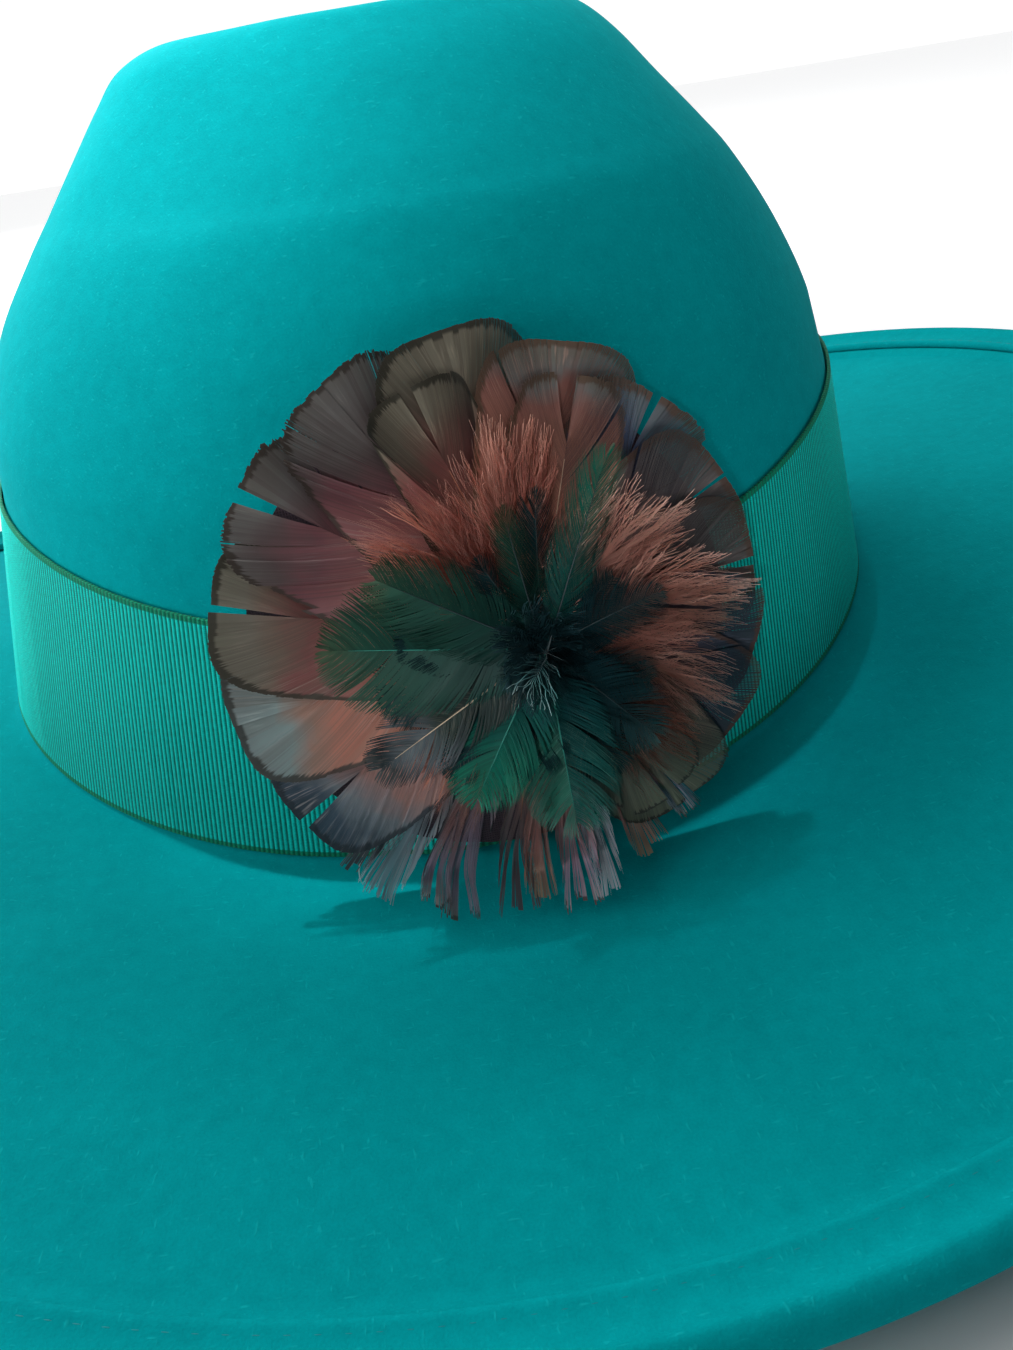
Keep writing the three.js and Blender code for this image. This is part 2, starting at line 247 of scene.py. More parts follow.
def gridUv(rows, columns, closedUp=False, openRound=False):
    high = rows if closedUp else rows - 1
    wide = columns - 1 if openRound else columns
    uv = []
    for i in range(high):
        for j in range(wide):
            low, top = i / high, (i + 1) / high
            left, right = j / wide, (j + 1) / wide
            uv += [(left, low), (right, low), (right, top), (left, top)]
    return uv


# Shape of the hat, the same block as the frame's felt
hat = {
    "halfLength": 102.4, "halfWidth": 83.4, "felt": 2.4, "height": 130.4, "dent": 13,
    "saddle": 9.4, "round": 2.15, "pinch": 0.2,
    "brim": 98.3, "lift": 9.2, "brimSaddle": 12.8, "twist": 7.1, "rear": 2.3, "near": 2.7,
    "welt": 8, "wire": 0.8, "gap": 0.3, "ribbonFoot": 1.4, "ribbonHeight": 47.6,
}
feltLow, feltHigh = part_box("felt_hood")
restHeight = feltHigh.z / mm - hat["height"]
ribbonTop = hat["ribbonFoot"] + hat["ribbonHeight"]


def overRibbon(rise):
    return ribbonTop + rise * (hat["height"] - ribbonTop)


# Height, inset at front, back and side, share of the saddle, pinch, share of the width left
blockRows = [
    (-6, -1.8, -1.1, -0.3, 1, 0, 1),
    (0, 0, 0, 0, 1, 0, 1),
    (ribbonTop / 2, 7.1, 4.4, 1.15, 1, 0, 1),
    (ribbonTop, 14.3, 8.8, 2.3, 1, 0, 1),
    (overRibbon(0.2), 16.4, 12.4, 4.4, 0.7, 0.1, 1),
    (overRibbon(0.42), 23.9, 19.2, 9.4, 0.3, 0.4, 1),
    (overRibbon(0.61), 33.8, 27.4, 16.4, 0, 0.8, 1),
    (overRibbon(0.69), 39.6, 32.8, 21.9, 0, 1, 1),
    (overRibbon(0.79), 47, 40.1, 30.4, 0, 1, 1),
    (overRibbon(0.89), 54.4, 47.4, 38.9, 0, 1, 1),
    (overRibbon(0.96), 60.4, 54.4, 45.9, 0, 1, 1),
    (overRibbon(1), 69.4, 62.4, 51.4, 0, 1, 1),
    (overRibbon(1) - 0.1 * hat["dent"], 69.4, 62.4, 51.4, 0, 1, 0.82),
    (overRibbon(1) - 0.45 * hat["dent"], 69.4, 62.4, 51.4, 0, 1, 0.6),
    (overRibbon(1) - 0.85 * hat["dent"], 69.4, 62.4, 51.4, 0, 1, 0.35),
    (overRibbon(1) - hat["dent"], 69.4, 62.4, 51.4, 0, 1, 0),
]
lastRow = len(blockRows) - 2


def blockRow(place):
    # Catmull-Rom through the rows; place 0 is the break, lastRow the middle of the dent
    index = min(int(place), lastRow - 1)
    t = place - index
    rows = [np.array(blockRows[min(max(index + 1 + k, 0), lastRow + 1)], float) for k in (-1, 0, 1, 2)]
    if index <= 2:
        return rows[1] * (1 - t) + rows[2] * t  # the wall under the ribbon is straight
    a, b, c, d = rows
    square = (2 * a - 5 * b + 4 * c - d) * t ** 2
    cube = (3 * b - a - 3 * c + d) * t ** 3
    return 0.5 * (2 * b + (c - a) * t + square + cube)


def power(value, exponent):
    return np.sign(value) * np.abs(value) ** exponent


def crownRing(row, angles):
    z, front, back, side, saddle, pinch, share = row
    alongX = power(np.cos(angles), 2 / hat["round"])
    alongY = power(np.sin(angles), 2 / hat["round"])
    front, back = hat["halfLength"] - front, hat["halfLength"] - back
    t = np.clip((-alongX + 0.2) / 1.2, 0, 1)
    narrowing = 1 - hat["pinch"] * pinch * t * t * (3 - 2 * t)
    x = (back - front) / 2 + (front + back) / 2 * alongX * share
    y = (hat["halfWidth"] - side) * alongY * narrowing * share
    return np.stack([x, y, z + hat["saddle"] * saddle * np.cos(2 * angles)], -1)


def edgeRing(angles):
    x, y = np.cos(angles), np.sin(angles)
    z = hat["lift"] + hat["rear"] * x - hat["near"] * y
    z = z + hat["brimSaddle"] * np.cos(2 * angles) + hat["twist"] * np.sin(2 * angles)
    return np.stack([(hat["halfLength"] + hat["brim"]) * x, (hat["halfWidth"] + hat["brim"]) * y, z], -1)


def edgeOut(angles):
    out = np.stack([
        np.cos(angles) / (hat["halfLength"] + hat["brim"]),
        np.sin(angles) / (hat["halfWidth"] + hat["brim"]),
        0 * angles,
    ], -1)
    return out / np.linalg.norm(out, axis=-1, keepdims=True)


def gridNormals(grid):
    alongRows = np.gradient(grid, axis=0)
    wrapped = np.concatenate([grid[:, -1:], grid, grid[:, :1]], 1)
    alongAngle = (wrapped[:, 2:] - wrapped[:, :-2]) / 2
    normal = np.cross(alongRows, alongAngle)
    length = np.linalg.norm(normal, axis=-1, keepdims=True)
    return normal / np.maximum(length, 1e-9)


def placed(grid):
    return (grid + np.array([0, 0, restHeight])) * mm


def wallGrid(heights, angles, out):
    # points on the straight wall under the ribbon, moved out from the felt
    def at(z, angles):
        return crownRing(blockRow(z / ribbonTop * 2), angles)
    rows = []
    for z in heights:
        up = at(z + 1, angles) - at(z - 1, angles)
        turn = at(z, angles + 0.01) - at(z, angles - 0.01)
        normal = np.cross(turn, up)
        normal /= np.linalg.norm(normal, axis=-1, keepdims=True)
        offset = out(z, angles) if callable(out) else out
        rows.append(at(z, angles) + normal * np.reshape(offset, (-1, 1)))
    return np.array(rows)


# Felt
felt = {
    "columns": 300, "wave": 0.45, "waveSize": 0.02,
    "deep": rgba(0, 140, 147), "light": rgba(0, 184, 190), "fibre": rgba(30, 210, 212),
}


def feltMaterial(name):
    material, nodes, shader = newMaterial(name, felt["light"], 0.92, {
        "Sheen Weight": 0.12, "Sheen Roughness": 0.45, "Sheen Tint": rgba(0, 205, 210),
        "Specular IOR Level": 0.03,
    })
    place = objectPlace(nodes)
    cloud = nodes.noise(place, 45, 3)
    mottle = nodes.noise(place, 330, 3, 0.6)
    nap = nodes.noise(place, 2600, 2, 0.6)
    tone = nodes.clamp(cloud * 0.35 + mottle * 0.5 + nap * 0.5 - 0.15)
    base = nodes.mix(tone, felt["deep"], felt["light"])
    strand = nodes.noise(place, 1500, 1, 0.5, (1, 0.3, 1))
    cross = nodes.noise(place, 1500, 1, 0.5, (0.3, 1, 1))
    strands = nodes.smooth(nodes.math("MAXIMUM", strand, cross), 0.66, 0.8)
    link(nodes, nodes.mix(strands * 0.3, base, felt["fibre"]), shader.inputs["Base Color"])
    link(nodes, 0.86 + nap * 0.12, shader.inputs["Roughness"])
    bump(nodes, shader, nap * 0.4 + mottle * 0.8 + strands * 0.15, 0.00022, 0.6)
    return material


stitchGroove = 0.32


def farShare(angles):
    # 1 on the hat's far side, 0 on its near side
    return 0.5 + 0.5 * np.sin(angles)


def feltGrid():
    angles = np.linspace(0, 2 * math.pi, felt["columns"], endpoint=False)
    places = np.concatenate([
        np.linspace(lastRow, lastRow - 4, 24, endpoint=False)[1:],
        np.linspace(lastRow - 4, 3, 56, endpoint=False),
        np.linspace(3, 0.06, 16),
    ])
    crown = [crownRing(blockRow(p), angles) for p in places]
    base, edge = crownRing(blockRow(0), angles), edgeRing(angles)
    channel = hat["wire"] + hat["gap"]
    rolled = channel + hat["felt"]
    reach = hat["brim"]
    fillet = [base * (1 - s / reach) + edge * (s / reach) for s in (1.2, 2.2, 3.6)]
    fillet[0][:, 2] += 0.35
    shares = np.concatenate([np.linspace(0.06, 0.86, 40), [0.88, 0.895]])
    brim = [base * (1 - s) + edge * s - [0, 0, channel * s] for s in shares]
    top = np.array(crown + fillet + brim)
    normals = gridNormals(top)
    wave = np.zeros(top.shape[:2])
    for i in range(top.shape[0]):
        for j in range(top.shape[1]):
            at = Vector(top[i, j]) * felt["waveSize"]
            wave[i, j] = noise.noise(at) + 0.4 * noise.noise(at * 3.1)
    fade = np.clip(1 - (np.hypot(top[..., 0] / 1.1, top[..., 1]) - 150) / 25, 0, 1)
    ribbonPart = np.clip((top[..., 2] - ribbonTop) / 10, 0, 1)
    outer = np.hypot(top[..., 0] / hat["halfLength"], top[..., 1] / hat["halfWidth"]) > 1.06
    amount = np.where(outer, fade, ribbonPart) * felt["wave"]
    top = top + normals * (wave * amount)[..., None]
    under = top - gridNormals(top) * hat["felt"]

    out = edgeOut(angles)

    def edgeStation(across, up):
        return edge + out * across + np.array([0, 0, up])

    def arc(radius, steps, squeeze=1.0):
        turns = np.linspace(-math.pi / 2, math.pi / 2, steps)
        return [edgeStation(radius * math.cos(a) * squeeze, radius * math.sin(a)) for a in turns]

    flapLow = -channel + hat["gap"]
    flapTop = flapLow + hat["felt"] * 0.85
    fold = [edgeStation(-hat["welt"] - 1, -channel)] + arc(channel, 7)
    fold += [edgeStation(-2 * channel, flapLow), edgeStation(-hat["welt"] + 0.3, flapLow)]
    fold += [edgeStation(-hat["welt"], flapLow + 0.4), edgeStation(-hat["welt"] - 0.05, flapLow + 1)]
    fold += [edgeStation(-hat["welt"] + 0.3, flapTop - 0.25), edgeStation(-hat["welt"] + 1.1, flapTop)]
    # the stitch line pulls the flap in, less and less toward the near side
    far = farShare(angles)
    for across, up in ((-6.4, -0.05), (-5.9, -stitchGroove), (-5.4, -0.05)):
        station = edgeStation(across, flapTop)
        station[:, 2] += up * far
        fold.append(station)
    for across, up in ((-4.2, 0.1), (-2.8, 0.5), (-1.4, 0.95)):
        fold.append(edgeStation(across, flapTop + up))
    fold += arc(rolled, 13)[::-1]
    fold += [edgeStation(-hat["welt"] * s, -rolled) for s in (0.35, 0.8)]
    grid = np.concatenate([top, np.array(fold), under[::-1]])
    return placed(grid)


def makeFelt():
    grid = feltGrid()
    rows, columns = grid.shape[:2]
    vertices = list(grid.reshape(-1, 3))
    faces = []
    for i in range(rows - 1):
        for j in range(columns):
            a, b = i * columns + j, i * columns + (j + 1) % columns
            faces.append((a, a + columns, b + columns, b))
    uv = []
    for i in range(rows - 1):
        for j in range(columns):
            low, high = i / rows, (i + 1) / rows
            left, right = j / columns, (j + 1) / columns
            uv += [(left, low), (left, high), (right, high), (right, low)]
    # close both poles with a fan
    outerPole, innerPole = len(vertices), len(vertices) + 1
    vertices += [grid[0].mean(0), grid[-1].mean(0)]
    last = (rows - 1) * columns
    for j in range(columns):
        right = (j + 1) % columns
        faces.append((outerPole, j, right))
        uv += [(j / columns, 0), (j / columns, 0.001), ((j + 1) / columns, 0.001)]
        faces.append((innerPole, last + right, last + j))
        uv += [(j / columns, 1), ((j + 1) / columns, 0.999), (j / columns, 0.999)]
    piece = newPiece("feltHood", vertices, faces, feltMaterial("woolFelt"), "hat")
    addUv(piece.data, uv)
    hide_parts("felt_hood")
    return piece


feltPiece = makeFelt()
print("felt", len(feltPiece.data.polygons), "faces")


# Stitches that hold the turned edge down, in matching thread
stitch = {
    "pitch": 3.4, "long": 2.3, "thick": 0.34, "across": -5.9, "sink": -0.12, "nearSink": -0.2, "steps": 720,
}


def stitchPath():
    angles = np.linspace(0, 2 * math.pi, stitch["steps"], endpoint=False)
    flapTop = -(hat["wire"] + hat["gap"]) + hat["gap"] + hat["felt"] * 0.85
    path = edgeRing(angles) + edgeOut(angles) * stitch["across"]
    far = farShare(angles)
    depth = stitch["sink"] - stitchGroove * far + stitch["nearSink"] * (1 - far)
    path[:, 2] += flapTop + stitch["thick"] / 2 + depth
    return placed(path)


def stitchTree():
    tree = bpy.data.node_groups.new("stitchRow", "GeometryNodeTree")
    nodes = Nodes(tree)
    tree.interface.new_socket("Geometry", in_out="INPUT", socket_type="NodeSocketGeometry")
    tree.interface.new_socket("Geometry", in_out="OUTPUT", socket_type="NodeSocketGeometry")
    for name in ("Pitch", "Long", "Thick"):
        tree.interface.new_socket(name, in_out="INPUT", socket_type="NodeSocketFloat")
    tree.interface.new_socket("Thread", in_out="INPUT", socket_type="NodeSocketMaterial")
    entry = tree.nodes.new("NodeGroupInput")
    line = nodes.add("GeometryNodeMeshToCurve", None, {"Mesh": entry.outputs["Geometry"]})
    spaced = nodes.add("GeometryNodeResampleCurve", {"mode": "LENGTH"}, {
        "Curve": line.outputs[0], "Length": entry.outputs["Pitch"],
    })
    along = nodes.add("GeometryNodeInputTangent").outputs[0]
    turn = nodes.add("FunctionNodeAlignRotationToVector", {"axis": "X"}, {"Vector": along})
    bead = nodes.add("GeometryNodeMeshUVSphere", None, {"Segments": 8, "Rings": 5, "Radius": 0.5})
    points = nodes.add("GeometryNodeInstanceOnPoints", None, {
        "Points": spaced.outputs[0], "Instance": bead.outputs["Mesh"], "Rotation": turn.outputs[0],
        "Scale": nodes.vector(
            nodes.number(entry.outputs["Long"]), nodes.number(entry.outputs["Thick"]),
            nodes.number(entry.outputs["Thick"])),
    })
    real = nodes.add("GeometryNodeRealizeInstances", None, {"Geometry": points.outputs[0]})
    thread = nodes.add("GeometryNodeSetMaterial", None, {"Geometry": real.outputs[0]})
    tree.links.new(entry.outputs["Thread"], thread.inputs["Material"])
    leave = tree.nodes.new("NodeGroupOutput")
    tree.links.new(thread.outputs[0], leave.inputs[0])
    return tree


def threadMaterial(name):
    material, nodes, shader = newMaterial(name, rgba(0, 120, 126), 0.6, {"Specular IOR Level": 0.3})
    twist = nodes.noise(objectPlace(nodes), 1800, 2)
    link(nodes, nodes.mix(twist, rgba(0, 128, 136), rgba(0, 165, 170)), shader.inputs["Base Color"])
    link(nodes, 0.5 + twist * 0.2, shader.inputs["Roughness"])
    return material


def makeStitches():
    path = stitchPath()
    carrier = bpy.data.meshes.new("stitchPath")
    edges = [(i, (i + 1) % len(path)) for i in range(len(path))]
    carrier.from_pydata([tuple(p) for p in path], edges, [])
    values = {"Pitch": stitch["pitch"] * mm, "Long": stitch["long"] * mm, "Thick": stitch["thick"] * mm,
              "Thread": threadMaterial("edgeThread")}
    mesh = bakeTree("edgeStitches", stitchTree(), values, carrier)
    piece = bpy.data.objects.new("edgeStitches", mesh)
    bpy.context.scene.collection.objects.link(piece)
    mesh.shade_smooth()
    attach(piece, "hat")
    return piece


def bakeTree(name, tree, values, carrier=None):
    # evaluates the tree once and keeps the result as a plain mesh
    holder = bpy.data.objects.new(name, carrier or bpy.data.meshes.new(name))
    bpy.context.scene.collection.objects.link(holder)
    modifier = holder.modifiers.new("shape", "NODES")
    modifier.node_group = tree
    sockets = {s.name: s.identifier for s in tree.interface.items_tree if s.in_out == "INPUT"}
    for key, value in values.items():
        modifier[sockets[key]] = value
    graph = bpy.context.evaluated_depsgraph_get()
    mesh = bpy.data.meshes.new_from_object(holder.evaluated_get(graph))
    bpy.data.objects.remove(holder)
    mesh.name = name
    return mesh


stitches = makeStitches()
print("stitches", len(stitches.data.polygons), "faces")


# Ribbon, its join tab and the sweatband: ribbed grosgrain strips
clipAcross = (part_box("rosette_clip")[0].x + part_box("rosette_clip")[1].x) / 2 / mm
ribbon = {
    "thickness": 0.6, "pitch": 0.92, "rib": 0.19, "tongueRoom": 1.4, "clipFlat": 14, "clipFade": 12,
    # light is the painted lit crest of each rib, deep the painted shade in the grooves between ribs
    "light": rgba(8, 255, 240), "deep": rgba(0, 112, 96), "edge": rgba(14, 170, 128),
    "joinAcross": 37, "joinGap": 1, "tabWidth": 20,
}


def ribbonOffset(angles):
    across = np.abs(crownRing(blockRow(hat["ribbonFoot"] / ribbonTop * 2), angles)[:, 0] - clipAcross)
    across = np.where(np.sin(angles) < 0, across, 1e6)
    t = np.clip((across - ribbon["clipFlat"]) / ribbon["clipFade"], 0, 1)
    return hat["gap"] + ribbon["tongueRoom"] * (1 - t * t * (3 - 2 * t))


def ribbonMaterial(name, light, deep, edge):
    material, nodes, shader = newMaterial(name, light, 0.55, {
        "Sheen Weight": 0.05, "Sheen Roughness": 0.4, "Specular IOR Level": 0.15,
    })
    place = objectPlace(nodes)
    uvMap = nodes.add("ShaderNodeAttribute", {"attribute_name": "strip"}).outputs["Vector"]
    round_, up, rib = nodes.parts(uvMap)
    lane = nodes.noise(nodes.vector(round_ * 640, 0.0, 0.0), 1, 1)
    bead = nodes.math("SINE", up * 820 + lane * 40)
    fleck = nodes.noise(place, 1400, 2)
    # painted light and shade: the colour runs from deep in the grooves to light on the rib crests; the fine
    # beading is weave texture in the bump and a little painted glint in the colour
    tone = nodes.clamp(nodes.smooth(rib, 0.05, 0.8) * 0.85 + bead * 0.1 + fleck * 0.4 - 0.12)
    base = nodes.mix(tone, deep, light)
    border = nodes.smooth(nodes.math("ABSOLUTE", up - 0.5), 0.476, 0.482)
    beads = border * (0.55 + 0.45 * nodes.math("SINE", round_ * 4100))
    edged = nodes.mix(border, base, tuple(c * 0.35 for c in edge[:3]) + (1,))
    link(nodes, nodes.mix(nodes.clamp(beads), edged, edge), shader.inputs["Base Color"])
    link(nodes, 0.5 + fleck * 0.2, shader.inputs["Roughness"])
    bump(nodes, shader, bead * 0.35 + fleck * 0.5, 0.0002, 0.7)
    return material


def capEnds(piece, rows, count):
    # closes both cut ends of an open strip
    work = bmesh.new()
    work.from_mesh(piece.data)
    work.verts.ensure_lookup_table()
    for column in (0, count - 1):
        for i in range(rows // 2 - 1):
            low, high = i * count + column, (i + 1) * count + column
            farHigh, farLow = (rows - 2 - i) * count + column, (rows - 1 - i) * count + column
            work.faces.new([work.verts[k] for k in (low, high, farHigh, farLow)])
    bmesh.ops.recalc_face_normals(work, faces=work.faces)
    work.to_mesh(piece.data)
    work.free()
    piece.data.shade_smooth()


def makeStrip(name, node, material, start, sweep, low, high, inner, outer, body):
    length = sweep * (hat["halfLength"] + hat["halfWidth"]) / 2
    ribs = max(4, round(length / ribbon["pitch"]))
    columns = ribs * 4 + 1
    closed = abs(sweep - 2 * math.pi) < 1e-6
    angles = start + sweep * np.linspace(0, 1, columns)
    phase = np.linspace(0, ribs, columns)
    swell = 0.5 - 0.5 * np.cos(2 * math.pi * phase)
    heights = np.concatenate([[low, low + 0.25, low + 0.6], np.linspace(low + 1.4, high - 1.4, 7),
                              [high - 0.6, high - 0.25, high]])
    share = (heights - low) / (high - low)
    middle = np.clip(np.minimum(share, 1 - share) * (high - low) / 1.2, 0, 1)

    def front(z, angles):
        k = np.interp(z, heights, middle)
        return outer(angles) + (swell - 1) * ribbon["rib"] * k + (1 - k) * 0.12 * (swell - 0.6)

    def back(z, angles):
        return inner(angles)

    faceGrid = wallGrid(heights, angles, front)
    backGrid = wallGrid(heights[::-1], angles, back)
    grid = placed(np.concatenate([faceGrid, backGrid]))
    if closed:
        grid = grid[:, :-1]
    piece = fromGrid(name, grid, material, body, closedUp=True, openRound=not closed)
    mesh = piece.data
    rows, count = grid.shape[:2]
    strip = np.zeros((rows, count, 3), np.float32)
    strip[..., 0] = np.linspace(0, 1, count) * length / 600
    strip[..., 1] = np.concatenate([share, share[::-1]])[:, None]
    # the bulge of each rib, which the cloth colour reads to paint the crests light and the grooves with shade
    strip[..., 2] = swell[:count]
    attribute = mesh.attributes.new("strip", "FLOAT_VECTOR", "POINT")
    attribute.data.foreach_set("vector", strip.ravel())
    addUv(mesh, gridUv(rows, count, True, not closed))
    if not closed:
        capEnds(piece, rows, count)
    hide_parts(node)
    (high - low) * mm
    return piece


ribbonCloth = ribbonMaterial("grosgrain", ribbon["light"], ribbon["deep"], ribbon["edge"])
nearSide = 1.5 * math.pi


def angleAcross(across):
    return nearSide + math.asin(across / hat["halfLength"])


def ribbonOuter(angles):
    return ribbonOffset(angles) + ribbon["thickness"]


halfGap = ribbon["joinGap"] / 2 / hat["halfLength"]
joinAngle = angleAcross(ribbon["joinAcross"])
makeStrip("ribbonBand", "ribbon_band", ribbonCloth, joinAngle + halfGap, 2 * math.pi - 2 * halfGap,
          hat["ribbonFoot"], ribbonTop, ribbonOffset, ribbonOuter, "hat")
tabStart = angleAcross(ribbon["joinAcross"] - ribbon["tabWidth"] / 2)
tabEnd = angleAcross(ribbon["joinAcross"] + ribbon["tabWidth"] / 2)
makeStrip("ribbonJoinTab", "ribbon_join_tab", ribbonCloth, tabStart, tabEnd - tabStart,
          hat["ribbonFoot"], ribbonTop, lambda a: ribbonOuter(a) + hat["gap"],
          lambda a: ribbonOuter(a) + hat["gap"] + ribbon["thickness"], "hat")

# light and deep here are again the painted lit rib crests and the painted shade in the grooves
sweat = {"height": 32, "thickness": 0.8, "light": rgba(10, 92, 88), "deep": rgba(2, 46, 46)}
sweatCloth = ribbonMaterial("sweatbandCloth", sweat["light"], sweat["deep"], rgba(20, 70, 60))
makeStrip("sweatBand", "sweatband", sweatCloth, 0, 2 * math.pi,
          hat["ribbonFoot"], hat["ribbonFoot"] + sweat["height"],
          lambda a: -hat["felt"] - hat["gap"] + 0 * a,
          lambda a: -hat["felt"] - hat["gap"] - sweat["thickness"] + 0 * a, "hat")
print("ribbon and sweatband")


# Feathers
def featherTree():
    tree = bpy.data.node_groups.new("featherVane", "GeometryNodeTree")
    nodes = Nodes(tree)
    face = tree.interface
    face.new_socket("Geometry", in_out="OUTPUT", socket_type="NodeSocketGeometry")
    for name in ("Barbs", "Segments"):
        face.new_socket(name, in_out="INPUT", socket_type="NodeSocketInt")
    numbers = ("Root", "Reach", "Half Width", "Centre", "Sweep", "Fill", "Groups", "Split", "Ragged", "Lift",
               "Curl", "Bend", "Cup", "Lean", "Wisp", "Wisp Size", "Tilt", "Roll Start", "Roll Radius",
               "Roll Angle", "Quill", "Rachis", "Taper", "Square", "Seed")
    for name in numbers:
        face.new_socket(name, in_out="INPUT", socket_type="NodeSocketFloat")
    for name in ("Vane Material", "Quill Material"):
        face.new_socket(name, in_out="INPUT", socket_type="NodeSocketMaterial")
    entry = tree.nodes.new("NodeGroupInput")
    given = {name: nodes.number(entry.outputs[name]) for name in ("Barbs", "Segments", *numbers)}
    root, reach, half, seed = given["Root"], given["Reach"], given["Half Width"], given["Seed"]
    span = reach - root

    def bent(x, y, z):
        # whole-feather bend, side lean and the roll of its end over the brim
        far = nodes.math("MAXIMUM", y / reach, 0.0)
        x = x + given["Lean"] * far * far
        z = z + given["Bend"] * far * far + given["Cup"] * (x / half) ** 2
        past = nodes.math("MAXIMUM", y - given["Roll Start"], 0.0)
        angle = nodes.math("MINIMUM", past / given["Roll Radius"], given["Roll Angle"])
        extra = past - angle * given["Roll Radius"]
        sine, cosine = nodes.math("SINE", angle), nodes.math("COSINE", angle)
        rolledY = nodes.math("MINIMUM", y, given["Roll Start"]) + given["Roll Radius"] * sine + extra * cosine
        rolledZ = z + given["Roll Radius"] * (1 - cosine) + extra * sine
        return nodes.vector(x, rolledY, rolledZ)

    columns, rows = given["Barbs"] * 4, given["Segments"] + 1
    grid = nodes.add("GeometryNodeMeshGrid", None, {
        "Size X": 1.0, "Size Y": 1.0, "Vertices X": columns, "Vertices Y": rows,
    })
    x, y, _ = nodes.parts(nodes.add("GeometryNodeInputPosition").outputs[0])
    column = nodes.math("FLOOR", (x + 0.5) * (columns - 1) + 0.5)
    barb = nodes.math("FLOOR", column / 2 + 0.1)
    edge = column - barb * 2
    right = (barb + 0.5) > given["Barbs"]
    side = right * 2 - 1
    place = (barb - right * given["Barbs"] + 0.5) / given["Barbs"]
    t = y + 0.5
    chance = nodes.random(barb, seed)
    chanceTwo = nodes.random(barb, seed + 5)
    waver = nodes.noise(nodes.vector(place * 6, seed, side), 1, 1) - 0.5
    group = nodes.math("FLOOR", (place + waver * 0.22) * given["Groups"]) + side * 40
    groupChance = nodes.random(group, seed + 11)
    groupOther = nodes.random(group, seed + 23)
    taper = 1 - given["Taper"] * t ** 6
    s = place + (edge - 0.5) * given["Fill"] * taper / given["Barbs"]

    turn = (-1.25 + s * (1.25 + math.pi / 2)) + (groupChance - 0.5) * given["Split"]
    centre = root + span * given["Centre"]
    below = nodes.math("LESS_THAN", turn, 0.0)
    spread = below * (centre - root) + (1 - below) * (reach - centre)
    cosine, sine = nodes.math("MAXIMUM", nodes.math("COSINE", turn), 0.0), nodes.math("SINE", turn)
    tipX = side * half * cosine ** (0.7 - 0.3 * given["Square"])
    steep = nodes.math("ABSOLUTE", sine) ** (1 - 0.45 * given["Square"])
    tipY = centre + spread * steep * nodes.math("SIGN", sine)
    baseY = root + span * given["Rachis"] * nodes.math("MAXIMUM", s, 0.0) ** given["Sweep"]
    length = 1 - given["Ragged"] * groupOther ** 2 - given["Ragged"] * 0.35 * chanceTwo
    tipX = tipX * length
    tipY = baseY + (tipY - baseY) * length
    bowX, bowY = tipX * 0.52, baseY + (tipY - baseY) * 0.36
    one, two, three = (1 - t) * (1 - t), 2 * t * (1 - t), t * t
    pointX = two * bowX + three * tipX
    pointY = one * baseY + two * bowY + three * tipY
    pointZ = (edge - 0.5) * side * given["Tilt"] + given["Curl"] * t ** 3 * (0.3 + groupOther)
    pointZ = pointZ + given["Lift"] * (groupChance - 0.5) * t + (chance - 0.5) * given["Tilt"]
    drift = nodes.add("ShaderNodeTexNoise", None, {
        "Vector": nodes.vector(groupChance * 60 + chance * 3.6, t * given["Wisp Size"], seed), "Scale": 1.0,
        "Detail": 1.0,
    }).outputs[1]
    driftX, driftY, driftZ = nodes.parts(drift)
    reachOut = given["Wisp"] * t
    pointX = pointX + (driftX - 0.5) * reachOut
    pointY = pointY + (driftY - 0.5) * reachOut
    pointZ = pointZ + (driftZ - 0.5) * reachOut
    moved = nodes.add("GeometryNodeSetPosition", None, {
        "Geometry": grid.outputs["Mesh"], "Position": bent(pointX, pointY, pointZ),
    })

    def stored(geometry, name, kind, domain, value):
        node = nodes.add("GeometryNodeStoreNamedAttribute", {"data_type": kind, "domain": domain})
        nodes.tree.links.new(geometry, node.inputs["Geometry"])
        node.inputs["Name"].default_value = name
        nodes.tree.links.new(value, node.inputs["Value"])
        return node.outputs[0]

    # the attributes and the cut read the flat grid, so they come before the move
    sheetUv = nodes.along("MULTIPLY", grid.outputs["UV Map"], (0.96, 1, 1))
    marked = stored(grid.outputs["Mesh"], "OFBake", "FLOAT2", "CORNER", sheetUv)
    far = nodes.clamp((pointY - root) / span)
    marked = stored(marked, "vane", "FLOAT_VECTOR", "POINT", nodes.vector(far, t, chance))
    marked = stored(marked, "tuft", "FLOAT_VECTOR", "POINT", nodes.vector(s, groupChance, side))
    faceX = nodes.parts(nodes.add("GeometryNodeInputPosition").outputs[0])[0]
    faceColumn = nodes.math("FLOOR", (faceX + 0.5) * (columns - 1))
    between = nodes.math("MODULO", faceColumn, 2.0) > 0.5
    unwanted = {"Geometry": marked, "Selection": between}
    cut = nodes.add("GeometryNodeDeleteGeometry", {"domain": "FACE"}, unwanted)
    nodes.tree.links.new(cut.outputs[0], moved.inputs["Geometry"])
    vane = nodes.add("GeometryNodeSetMaterial", None, {"Geometry": moved.outputs[0]})
    nodes.tree.links.new(entry.outputs["Vane Material"], vane.inputs["Material"])

